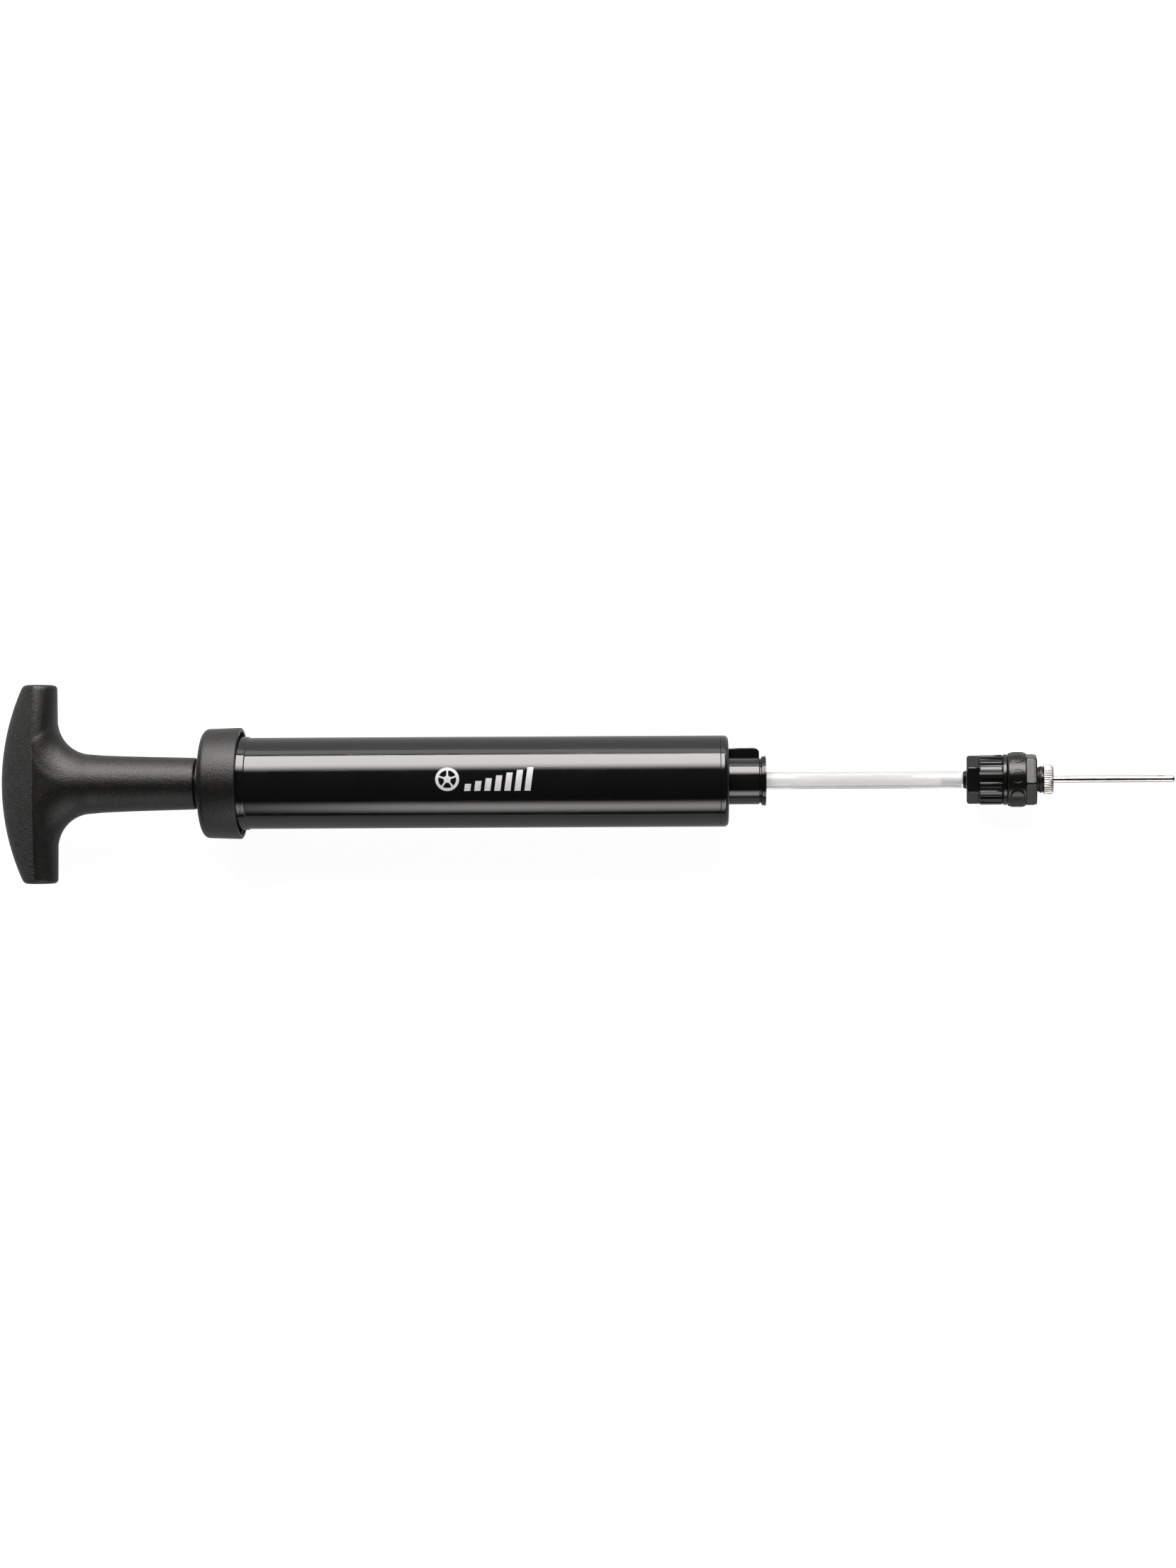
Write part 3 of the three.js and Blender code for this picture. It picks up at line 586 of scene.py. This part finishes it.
def grip_stem(half_span, sides=96):
    """The stem, from inside the bar, through the fillet and down to its slightly rounded end."""
    h = HANDLE
    ridge, stem_start, stem_end = h["ridge_x"], h["finger_x"] + h["fillet"], HANDLE_HIGH.x
    edge_x = stem_end - h["stem_edge"]
    angles = around(sides) + math.pi / sides
    across, up = np.cos(angles), np.sin(angles)
    fillet_part = h["finger_x"] + h["fillet"] * np.linspace(0, 1, 20) ** 1.5
    bar_part = np.linspace(ridge + 0.4, h["finger_x"], 8)[:-1]
    straight = np.linspace(stem_start, edge_x, 12)[1:]
    rings = []
    for x in [ridge, *bar_part, *fillet_part, *straight, stem_end - 0.1, stem_end]:
        share = np.clip((x - stem_start) / (stem_end - stem_start), 0, 1)
        radius = h["stem"] + (h["stem_end"] - h["stem"]) * share**0.6
        tall = min(radius, h["thick"] + 0.03 * (x - ridge)) if x > ridge else h["thick"] - 0.4
        edge = 1.5 * max(0, x - edge_x) ** 2
        z = up * (tall - edge)
        y = np.abs(across) * (radius - edge)
        y += fillet_reach(x, y + h["fillet"] / 2, z, half_span)
        rings.append(np.stack([np.full(sides, x), np.sign(across) * y, AXIS_Z + z], 1))
    return loft("stem", rings)


def add_handle():
    """The T-handle: bar and stem in one piece, with the rod's bore in the stem."""
    h = HANDLE
    half_span = (HANDLE_HIGH.y - HANDLE_LOW.y) / 2
    bar = grip_bar(half_span)
    combine(bar, grip_stem(half_span), "UNION")
    remesh = bar.modifiers.new("remesh", "REMESH")
    remesh.mode = "VOXEL"
    remesh.voxel_size = 0.4 * MM
    relax = bar.modifiers.new("relax", "SMOOTH")
    relax.factor = 0.5
    relax.iterations = 5
    bake_modifiers(bar)
    start, end, bore = h["bore_start"], HANDLE_HIGH.x + 2, h["bore"]
    tool = spun("bore", [(start, 0), (start, bore), (end, bore), (end, 0)], AXIS_Z, 64)
    combine(bar, tool, "DIFFERENCE", 50)
    look = grained_black("handle_black", h["ridge_x"] - 0.3)
    finish_piece(bar, look, "handle", "grained_plastic", "handle")


def add_rod():
    """The piston rod: a tube with softened ends."""
    low, high = span("piston_rod")
    radius, bore = (high.z - low.z) / 2, 2.9
    rows = rounded([(low.x, bore), (low.x, radius, 0.3), (high.x, radius, 0.3), (high.x, bore)])
    rod = spun("rod_tube", rows, AXIS_Z, 96)
    finish_piece(rod, ALUMINIUM, "handle", "rod_aluminium", "piston_rod")


add_handle()
add_rod()

# ---- barrel and cap -----------------------------------------------------------------------

BARREL_RADIUS = (END_HIGH.z - END_LOW.z) / 2
BARREL_BORE = 11.7
END_SEAM = END_LOW.x + 6.0  # where the barrel meets its end cap
SEAM_GAP = 0.04  # left between faces that meet, so that none of them lie in one another


def add_barrel():
    """The tube, with a bead and a shallow collar where the cap snaps over it."""
    mouth, end = BARREL_LOW.x, END_SEAM - SEAM_GAP
    bead = (BARREL_HIGH.z - BARREL_LOW.z) / 2
    radius, bore = BARREL_RADIUS, BARREL_BORE
    corners = [
        (mouth, bore, 0.4), (mouth, bead, 0.4), (-42.6, bead, 0.3), (-42.2, radius + 0.5, 0.2),
        (-40.2, radius + 0.34, 0.8), (-38.9, radius + 0.28, 0.15), (-38.6, radius),
        (end, radius, 0.12), (end, bore),
    ]
    barrel = spun("barrel_shell", rounded(corners), AXIS_Z, 192)
    finish_piece(barrel, GLOSS, "barrel", "gloss_plastic", "barrel_tube")


def arc_block(name, inner, outer, from_degrees, to_degrees, from_x, to_x):
    """A block between two radii and two angles, along X."""
    angles = np.radians(np.linspace(from_degrees, to_degrees, 7))
    rings = [
        [(x, r * math.cos(a), AXIS_Z + r * math.sin(a))
         for x, r in [(from_x, inner), (to_x, inner), (to_x, outer), (from_x, outer)]]
        for a in angles
    ]
    return loft(name, rings)


def add_cap():
    """The grained cap: a flat face, a skirt that flares a little, and hooks inside the rim."""
    face, rim = CAP_LOW.x, CAP_HIGH.x
    rim_radius = (CAP_HIGH.z - CAP_LOW.z) / 2
    shoulder_x, shoulder, flat = -50.0, 15.8, 13.0
    hole, skirt, inner_x = 6.3, 14.9, -50.2
    edge = [(shoulder_x + (face - shoulder_x) * math.cos(a), flat + (shoulder - flat) * math.sin(a))
            for a in np.radians(np.linspace(0, 90, 14))]
    rows = [(face, hole)] + edge + rounded([
        (shoulder_x, shoulder), (rim, rim_radius, 0.35), (rim, skirt, 0.12), (inner_x, skirt),
        (inner_x, hole)])[1:]
    cap = spun("cap_shell", rows, AXIS_Z, 160)
    hook_bore, hook_radius, half_hook = BARREL_RADIUS + 0.85, skirt + 0.4, 12
    hook_x, hook_end_x = -42.3, -41.3
    for middle in range(75, 75 + 360, 60):
        edges = middle - half_hook, middle + half_hook
        hook = arc_block("hook", hook_bore, hook_radius, *edges, hook_x, hook_end_x)
        combine(cap, hook, "UNION")
    finish_piece(cap, GRAINED, "barrel", "grained_plastic", "barrel_cap")


def add_bushing():
    """The rod's bushing: a flange outside the cap, a neck through it, and the wiper's seat."""
    low, high = span("rod_bushing")
    flange, bore = (high.z - low.z) / 2, 4.25
    neck_x, neck = CAP_LOW.x - SEAM_GAP, 6.0
    seat_x, seat = high.x - 2.7, 5.3
    corners = [
        (low.x, bore, 0.3), (low.x, flange, 0.25), (neck_x, flange, 0.1), (neck_x, neck),
        (high.x, neck, 0.3), (high.x, seat), (seat_x, seat), (seat_x, bore),
    ]
    bushing = spun("bushing_ring", rounded(corners), AXIS_Z, 96)
    finish_piece(bushing, GRAINED, "barrel", "gloss_plastic", "rod_bushing")


add_barrel()
add_cap()
add_bushing()

# ---- printed mark -------------------------------------------------------------------------

MARK = {"x": 30.0, "y": 0.9, "length": 28.0, "height": 6.8, "stroke": 0.85, "skin": 0.035}


def emblem():
    """The mark's ribbons, each as the points along its two edges: a ball, and rising bars."""
    half = MARK["height"] / 2
    left = MARK["x"] - MARK["length"] / 2
    middle = np.array([left + half, 0])

    def circle(radius):
        turns = np.linspace(0, 2 * math.pi, 49)
        return [middle + radius * np.array([math.cos(a), math.sin(a)]) for a in turns]

    rim = MARK["stroke"]
    yield circle(half - rim), circle(half)
    patch = 0.36 * half
    spokes = [np.array([math.cos(a), math.sin(a)]) for a in np.radians(range(90, 450, 72))]
    corners = [middle + patch * out for out in spokes]
    yield [corners[0], corners[1], corners[2]], [corners[0], corners[4], corners[3]]
    for out in spokes:
        aside = np.array([-out[1], out[0]]) * 0.3 * rim
        near, far = middle + 0.8 * patch * out, middle + (half - 0.7 * rim) * out
        yield [near - aside, far - aside], [near + aside, far + aside]
    count, width, lean = 7, 1.75, 0.9
    first = left + MARK["height"] + 1.4
    pitch = (MARK["x"] + MARK["length"] / 2 - lean - width - first) / (count - 1)
    for k in range(count):
        height = MARK["height"] * (0.3 + 0.7 * k / (count - 1))
        edge = [np.array([first + k * pitch + lean * rise / MARK["height"], rise - half])
                for rise in np.linspace(0, height, 8)]
        yield edge, [point + (width, 0) for point in edge]


def add_mark():
    """A plain printed emblem: a ball beside a row of rising bars. It lies round the barrel."""
    points, faces = [], []

    def quad(*corners):
        places = dict.fromkeys(tuple(np.round(points[c], 6)) for c in corners)
        if len(places) > 2:
            faces.append(corners)

    for near, far in emblem():
        start, size = len(points), len(near)
        for radius in (BARREL_RADIUS + MARK["skin"], BARREL_RADIUS - MARK["skin"]):
            for x, y in near + far:
                a = (MARK["y"] + y) / BARREL_RADIUS
                points.append((x, radius * math.sin(a), AXIS_Z + radius * math.cos(a)))
        a, b, c, d = (start + k * size for k in range(4))  # near and far, on top and underneath
        for i in range(size - 1):
            quad(a + i, a + i + 1, b + i + 1, b + i)
            quad(c + i, c + i + 1, d + i + 1, d + i)
            quad(a + i, a + i + 1, c + i + 1, c + i)
            quad(b + i, b + i + 1, d + i + 1, d + i)
        if not np.allclose(near[0], near[-1]):
            quad(a, b, d, c)
            quad(b - 1, c - 1, d + size - 1, d - 1)
    mark = add_object("printed_mark", points, faces)
    finish_piece(mark, INK, "barrel", "gloss_plastic")


add_mark()

# ---- end cap and outlet -------------------------------------------------------------------

NOZZLE = {"radius": 6.8, "end": 108.7, "bore": 4.7, "bore_start": 103.9}
VALVE = {"start": 92.4, "radius": 5, "hole": 1.0, "seat": 94.5, "chamber": 3.1}
SPIGOT = {"bore": 9.9, "radius": 11.4, "bottom": 96}  # what goes into the barrel
FIN = {"end": 108.6, "top": 9.6, "root": 5.9, "corner": 2.0, "half_thick": 1.2}


def fin_outline(start):
    """The fin from the side: its top falls a little towards the barrel, and its tip is rounded."""
    end, top, corner = FIN["end"], FIN["top"], FIN["corner"]
    tip = [(end - corner * (1 - math.cos(a)), top - corner * (1 - math.sin(a)) * 0.7)
           for a in np.radians(np.linspace(0, 90, 9))]
    return [(start, FIN["root"]), (end, FIN["root"]), *tip, (103, top - 0.02), (start, top - 0.25)]


def add_end_cap():
    """The barrel's end, with the nozzle, the valve pocket and the fin."""
    seam, face, inner_x = END_SEAM, 99.7, END_LOW.x
    n, v, s = NOZZLE, VALVE, SPIGOT
    corners = [
        (seam, BARREL_RADIUS, 0.12), (face, BARREL_RADIUS, 1.35), (face, n["radius"] + 0.01, 0.25),
        (n["end"], n["radius"], 0.3), (n["end"], n["bore"], 0.1), (n["bore_start"], n["bore"]),
        (n["bore_start"], v["chamber"]), (v["seat"], v["chamber"]), (v["seat"], v["hole"]),
        (v["start"], v["hole"]), (v["start"], v["radius"], 0.3), (s["bottom"], v["radius"], 0.4),
        (s["bottom"], s["bore"], 0.4), (inner_x, s["bore"]), (inner_x, s["radius"], 0.4),
        (seam, s["radius"]),
    ]
    cap = spun("end_shell", rounded(corners, 6), AXIS_Z, 192)
    low, high = AXIS_Z - FIN["half_thick"], AXIS_Z + FIN["half_thick"]
    combine(cap, plate("fin", fin_outline(face - 0.5), low, high, 0.3), "UNION", 30)
    finish_piece(cap, GLOSS, "barrel", "gloss_plastic", "end_cap")


def add_outlet_ring():
    """The threaded ring in the nozzle: a neck, a stepped flange and the hose's socket."""
    low, high, neck_x, socket_x = OUTLET_LOW.x, OUTLET_HIGH.x, NOZZLE["end"] + SEAM_GAP, 107.2
    flange, neck, plug, bore = (OUTLET_HIGH.z - OUTLET_LOW.z) / 2, 6.45, 4.4, 1.3
    socket = HOSE_DIAMETER / 2 + 0.25
    corners = [
        (low, bore), (low, plug), (neck_x, plug), (neck_x, neck, 0.08), (high - 1.45, neck),
        (high - 1.2, flange - 0.1, 0.12), (high - 0.72, flange - 0.05, 0.05),
        (high - 0.66, flange - 0.2), (high - 0.58, flange, 0.05), (high, flange, 0.12),
        (high, socket + 0.15, 0.12), (high - 0.3, socket), (socket_x, socket), (socket_x, bore),
    ]
    ring = spun("outlet_flange", rounded(corners), AXIS_Z, 128)
    finish_piece(ring, GLOSS, "barrel", "gloss_plastic", "outlet_ring")


add_end_cap()
add_outlet_ring()

# ---- head ---------------------------------------------------------------------------------

HEAD_SIDES = 360


def head_piece(name, rows, sides=HEAD_SIDES, sharp_degrees=30):
    """A solid round the head's axis, from rows in the head's own frame."""
    obj = spun(name, rows, 0, sides, sharp_degrees)
    obj.data.transform(HEAD_PLACE)
    return obj


def hexagon(corner, turn_degrees, blunt, sides=HEAD_SIDES):
    """A hexagon's radius at each side of a round, with its corners blunted."""
    angle = (around(sides) - math.radians(turn_degrees)) % (math.pi / 3) - math.pi / 6
    return np.minimum(corner * math.cos(math.pi / 6) / np.cos(angle), corner - blunt)


def waves(count, inner, outer, shape, turn_degrees=0.0, sides=HEAD_SIDES):
    """A radius that goes between inner and outer this many times round. shape gives the share
    of the way out at shares of one pitch."""
    share = ((around(sides) - math.radians(turn_degrees)) * count / (2 * math.pi)) % 1
    return inner + (outer - inner) * np.interp(share, *zip(*shape))


def thread(from_x, to_x, pitch, root, crest, sides, rows_a_turn=8):
    """Rows of a right-hand screw thread."""
    count = int(round((to_x - from_x) / pitch * rows_a_turn))
    turn = around(sides) / (2 * math.pi)
    shape = [(0, 0), (0.2, 0), (0.45, 1), (0.55, 1), (0.8, 0), (1, 0)]
    rows = []
    for x in np.linspace(from_x, to_x, count + 1):
        height = np.interp((x / pitch - turn) % 1, *zip(*shape))
        fade = min(1, (x - from_x) / (0.5 * pitch), (to_x - x) / (0.5 * pitch))
        rows.append((x, root + (crest - root) * height * fade))
    return rows


def add_collar():
    """The small cone where the hose meets the head."""
    low, high = head_span("hose_collar")
    bore, front, shoulder = 1.6, 2.3, 2.5
    corners = [
        (low.x, bore), (low.x, front, 0.15), (low.x + 0.35, shoulder, 0.1), (high.x, high.y),
        (high.x, bore),
    ]
    collar = head_piece("collar_cone", rounded(corners), 96, 38)
    finish_piece(collar, HEAD, "barrel", "head_plastic", "hose_collar")


def add_barb():
    """The barb in the hose's end: two teeth on a stem, a flange in the head, and a neck."""
    bore, stem, tooth, flange, neck = 0.7, 1.3, 1.5, 4.2, 2
    rows = [
        (-6, bore), (-6, 1.1), (-4.6, tooth), (-4.6, stem), (-3.8, stem), (-2.4, tooth),
        (-2.4, stem), (1.6, stem), (1.6, 2.5), (3.5, 2.5), (3.5, flange), (5.0, flange),
        (5.0, neck), (8, neck), (8, bore),
    ]
    barb = head_piece("barb_stem", rows, 64, 38)
    finish_piece(barb, HOSE, "barrel", "nylon", "hose_barb")


def add_head_body():
    """A hexagon, a ribbed grip, a flange, and the threaded spigot that the clamp nut is on."""
    flat = hexagon(7.13, 60.4, 0.08)
    rib_shape = [(0, 1), (0.09, 1), (0.25, 0), (0.53, 0), (0.69, 1), (1, 1)]
    ribs = waves(18, 6.75, 7.27, rib_shape, 6)
    hole, bore, flange, groove = 2.9, 4.5, 7.4, 6.72
    root, crest, pitch, thread_start, thread_end = 5.25, 5.6, 1.25, 13.15, 16.8
    rear = [
        (1.4, hole), (1.4, np.minimum(flat, 6.4)), (1.55, np.minimum(flat, 6.75)),
        (1.85, np.minimum(flat, 7.0)), (2.1, flat), (4.8, flat), (4.95, flat - 0.08),
        (4.95, np.maximum(flat - 0.08, 6.6)), (5.05, np.maximum(flat - 0.1, groove)),
    ]
    middle = [
        (5.3, ribs), (11.5, ribs), (11.8, np.maximum(ribs - 0.25, groove)), (11.9, 6.7),
        (11.9, 7.2), (12.0, flange - 0.04), (12.15, flange), (12.85, flange),
        (13.0, flange - 0.04), (13.1, 7.22), (13.1, root),
    ]
    spigot = thread(thread_start, thread_end, pitch, root, crest, HEAD_SIDES)
    inside = [(17.0, 5.1), (17.0, bore), (3.2, bore), (3.2, hole)]
    rows = rear + middle + spigot + inside
    body = head_piece("head_grip", rows)
    finish_piece(body, HEAD, "barrel", "head_plastic", "head_body")


def add_clamp_nut():
    """A ring with eight round buttons, and a hexagon with a stepped end."""
    ring, bore, start, ring_end, end = 7.8, 5.75, 13.22, 18.7, 21.75
    seat_x, seat = 20.0, 4.2
    button_x, button_radius, button_height, buttons, turn_degrees = 16.05, 2.1, 0.25, 8, 82.4
    flat = hexagon(8.0, 39.2, 0.1)
    pitch = 2 * math.pi / buttons
    aside = (around(HEAD_SIDES) - math.radians(turn_degrees) + pitch / 2) % pitch - pitch / 2

    def buttoned(x):
        """The ring's radius at each side, with its buttons standing out."""
        away = np.hypot(aside * ring, x - button_x) / button_radius
        rise = np.clip((1 - away) / 0.16, 0, 1)
        rise = rise * rise * (3 - 2 * rise)
        return ring + button_height * rise * (0.85 + 0.15 * np.clip(1 - away, 0, 1))

    rows = [
        (start, bore), (start, ring - 0.45), (start + 0.12, ring - 0.2), (start + 0.38, ring),
        *[(x, buttoned(x)) for x in np.linspace(start + 0.45, ring_end - 0.45, 30)],
        (ring_end - 0.38, ring), (ring_end - 0.12, ring - 0.2), (ring_end, ring - 0.45),
        (ring_end, np.minimum(flat, 7.75)), (ring_end + 0.2, flat), (end - 0.95, flat),
        (end - 0.88, flat - 0.1), (end - 0.5, flat - 0.12),
        (end - 0.3, np.minimum(flat - 0.15, 7.65)),
        (end - 0.1, np.minimum(flat - 0.25, 7.45)), (end, np.minimum(flat - 0.5, 7.2)),
        (end, seat), (seat_x, seat), (seat_x, bore),
    ]
    nut = head_piece("nut_shell", rows)
    finish_piece(nut, NUT, "clamp_nut", "head_plastic", "clamp_nut")


def add_washer():
    """The needle's rubber washer, with a step, pressed between the nut and the knurled hub."""
    low, high = head_span("needle_washer")
    start, step, end = low.x - 0.22, low.x + 0.4, high.x + 0.05
    radius, bore = high.y, 2.9
    corners = [
        (start, bore), (start, radius - 0.35, 0.1), (step, radius - 0.3),
        (step + 0.1, radius - 0.05, 0.15), (end - 0.15, radius, 0.2), (end, radius - 0.25),
        (end, bore),
    ]
    washer = head_piece("washer_ring", rounded(corners, 6), 96, 38)
    finish_piece(washer, RUBBER, "needle_washer", "seal_rubber", "needle_washer")


def add_needle():
    """The knurled, threaded hub, and the thin tube with an air hole in its side."""
    teeth, sides = 36, 36 * 10
    hub_low, hub_high = head_span("needle_hub")
    knurl, start, grip_end = hub_high.y, hub_low.x, hub_high.x
    half_tooth = [(0, 1), (0.2, 0.92), (0.38, 0.6), (0.46, 0)]
    tooth_shape = half_tooth + [(1 - share, height) for share, height in half_tooth[::-1]]
    teeth_radius = waves(teeth, knurl - 0.24, knurl, tooth_shape, 0, sides)
    bore, grip_start, neck = 1.06, 23.4, 2.6
    root, crest, pitch, thread_start, thread_end = 3.4, 3.8, 0.794, start + 0.4, 21.7
    rows = [
        (start, bore), (start, root - 0.3), (thread_start, root),
        *thread(thread_start, thread_end, pitch, root, crest, sides), (21.9, 3.2), (21.9, neck),
        (23.5, neck), (grip_start, knurl - 0.7),
        (grip_start + 0.2, np.minimum(teeth_radius, knurl - 0.4)),
        (grip_start + 0.45, teeth_radius), (grip_end - 0.75, teeth_radius),
        (grip_end - 0.35, np.minimum(teeth_radius, knurl - 0.3)),
        (grip_end - 0.1, np.minimum(teeth_radius, knurl - 0.6)), (grip_end, knurl - 0.85),
        (grip_end, bore),
    ]
    hub = head_piece("needle_knob", rows, sides)
    finish_piece(hub, NICKEL, "needle", "nickel", "needle_hub")

    tube_low, tube_high = head_span("needle_tube")
    radius, bore, tip, wall = tube_high.y, 0.6, tube_high.x, 0.8
    corners = [
        (tube_low.x, bore), (tube_low.x, radius, 0.05), (tip, radius, 0.75), (tip, 0),
        (tip - wall, 0), (tip - wall, bore),
    ]
    tube = spun("needle_shaft", rounded(corners, 8), 0, 64)
    hole_x, hole_half, hole_radius = tip - 4.1, 0.95, 0.45
    hole_end = hole_x + hole_half - hole_radius
    outline = [(hole_end + hole_radius * math.cos(a), hole_radius * math.sin(a))
               for a in np.radians(np.linspace(-90, 90, 9))]
    outline += [(2 * hole_x - x, -y) for x, y in outline]
    drill = plate("drill", outline, 0, 3, 0.02)
    turn = math.radians(18 - 90)  # the hole faces 18 degrees above +Y
    drill.data.transform(Matrix.Rotation(turn, 4, "X"))
    combine(tube, drill, "DIFFERENCE")
    tube.data.transform(HEAD_PLACE)
    finish_piece(tube, NICKEL, "needle", "nickel", "needle_tube")


add_collar()
add_barb()
add_head_body()
add_clamp_nut()
add_washer()
add_needle()

# ---- pieces that stay as they are in the frame ---------------------------------------------

PLAIN_NODES = {
    "piston": NYLON, "rod_plug": NYLON,
    "piston_ring": RUBBER, "stop_bumper": RUBBER, "rod_wiper": RUBBER, "valve_seat": RUBBER,
    "outlet_seal": RUBBER, "head_seal": RUBBER, "grommet": RUBBER,
    "piston_screw": STEEL, "screw_washer": STEEL, "check_ball": STEEL, "check_spring": STEEL,
}
for node, look in PLAIN_NODES.items():
    frame["nodes"][node].data.materials.clear()
    frame["nodes"][node].data.materials.append(look)

# ---- floor and light ----------------------------------------------------------------------

WARM = (1, 0.975, 0.95)
ROOM_RADIANCE, BACKDROP_RADIANCE = 0.02, 0.95
# The wall fades out and in between these upward and sideways (+Y) parts of a unit direction.
WALL = {"height": (0.19, 0.27), "side": (0.2, 0.9), "radiance": 2.6}


def add_floor():
    """A wide flat sheet under the pump."""
    size = 4  # metres from its middle to an edge
    mesh = bpy.data.meshes.new("floor")
    corners = [(x * size, y * size, 0) for x, y in ((-1, -1), (1, -1), (1, 1), (-1, 1))]
    mesh.from_pydata(corners, [], [(0, 1, 2, 3)])
    floor = bpy.data.objects.new("floor", mesh)
    floor.data.materials.append(pale_floor())
    bpy.context.scene.collection.objects.link(floor)


def value_node(tree, operation, *sources):
    """A Math node on these numbers or sockets."""
    node = tree.nodes.new("ShaderNodeMath")
    node.operation = operation
    for socket, source in zip(node.inputs, sources):
        if isinstance(source, bpy.types.NodeSocket):
            tree.links.new(source, socket)
        else:
            socket.default_value = source
    return node.outputs[0]


def ramp_node(tree, source, start, end, to_start=0.0, to_end=1.0):
    """A soft step from to_start, where the source is start, to to_end, where it is end."""
    node = tree.nodes.new("ShaderNodeMapRange")
    node.interpolation_type = "SMOOTHSTEP"
    tree.links.new(source, node.inputs["Value"])
    values = {"From Min": start, "From Max": end, "To Min": to_start, "To Max": to_end}
    for socket, value in values.items():
        node.inputs[socket].default_value = value
    return node.outputs["Result"]


def add_softbox(name, side, angles, soft, reach, middle_x, length, twist, radiance):
    """A long warm light beside the pump, towards +Y or -Y as side says. angles are its two edges
    in degrees, from straight up. soft says where, in shares of its width, each edge starts and
    ends to fade in, and how it fades along its length: from where, to where, and to what share.
    reach, middle_x and length are in metres, and twist turns it about the line to the pump."""
    near, far = (math.radians(a) for a in angles)
    angle = (near + far) / 2
    width = 2 * reach * math.tan((far - near) / 2)
    data = bpy.data.lights.new(name, "AREA")
    data.shape = "RECTANGLE"
    data.size, data.size_y = length, width
    data.energy = radiance * math.pi * length * width
    data.color = WARM
    data.use_nodes = True
    tree = data.node_tree
    parts = tree.nodes.new("ShaderNodeSeparateXYZ")
    tree.links.new(tree.nodes.new("ShaderNodeNewGeometry").outputs["Parametric"], parts.inputs[0])
    across, along = parts.outputs["Y"], parts.outputs["X"]
    near_edge = ramp_node(tree, across, *soft["near"])
    far_edge = ramp_node(tree, across, *soft["far"])
    start, end, least = soft["along"]
    ends = ramp_node(tree, along, start, end, least)
    strength = value_node(tree, "MULTIPLY", value_node(tree, "MULTIPLY", near_edge, far_edge), ends)
    tree.links.new(strength, tree.nodes["Emission"].inputs["Strength"])
    obj = bpy.data.objects.new(name, data)
    bpy.context.scene.collection.objects.link(obj)
    centre = Vector((middle_x, 0, AXIS_Z * MM))
    obj.location = centre + reach * Vector((0, side * math.sin(angle), math.cos(angle)))
    turn = Matrix.Rotation(side * -angle, 4, "X") @ Matrix.Rotation(math.radians(twist), 4, "Z")
    obj.rotation_euler = turn.to_euler()
    obj.visible_camera = False


def add_world():
    """A dark room with a bright wall low down at +Y, and a pale backdrop behind the floor, which
    only the camera sees."""
    world = bpy.data.worlds.new("room")
    world.use_nodes = True
    bpy.context.scene.world = world
    tree = world.node_tree
    parts = tree.nodes.new("ShaderNodeSeparateXYZ")
    tree.links.new(tree.nodes.new("ShaderNodeTexCoord").outputs["Generated"], parts.inputs[0])
    low = ramp_node(tree, parts.outputs["Z"], *WALL["height"], 1, 0)
    aside = ramp_node(tree, parts.outputs["Y"], *WALL["side"])
    wall = value_node(tree, "MULTIPLY", low, aside)
    room = value_node(tree, "MULTIPLY_ADD", wall, WALL["radiance"], ROOM_RADIANCE)
    seen = tree.nodes.new("ShaderNodeLightPath").outputs["Is Camera Ray"]
    backdrop = value_node(tree, "MULTIPLY", seen, BACKDROP_RADIANCE)
    background = tree.nodes["Background"]
    tree.links.new(value_node(tree, "MAXIMUM", room, backdrop), background.inputs["Strength"])
    background.inputs["Color"].default_value = (1, 1, 1, 1)


add_floor()
add_world()
add_softbox(
    "main_softbox", side=1, angles=(28, 73), reach=0.9, middle_x=-0.04, length=0.86, twist=6,
    radiance=15, soft={"near": (0, 0.45), "far": (1, 0.96), "along": (-1, 0, 1)},
)
add_softbox(
    "fill_softbox", side=-1, angles=(46, 86), reach=1.1, middle_x=0.06, length=1.6, twist=0,
    radiance=5, soft={"near": (0, 0.5), "far": (1, 0.55), "along": (0.3, 0.5, 0.18)},
)

scene = bpy.context.scene
scene.view_settings.view_transform = "Standard"
scene.view_settings.look = "None"
scene.view_settings.exposure = 0
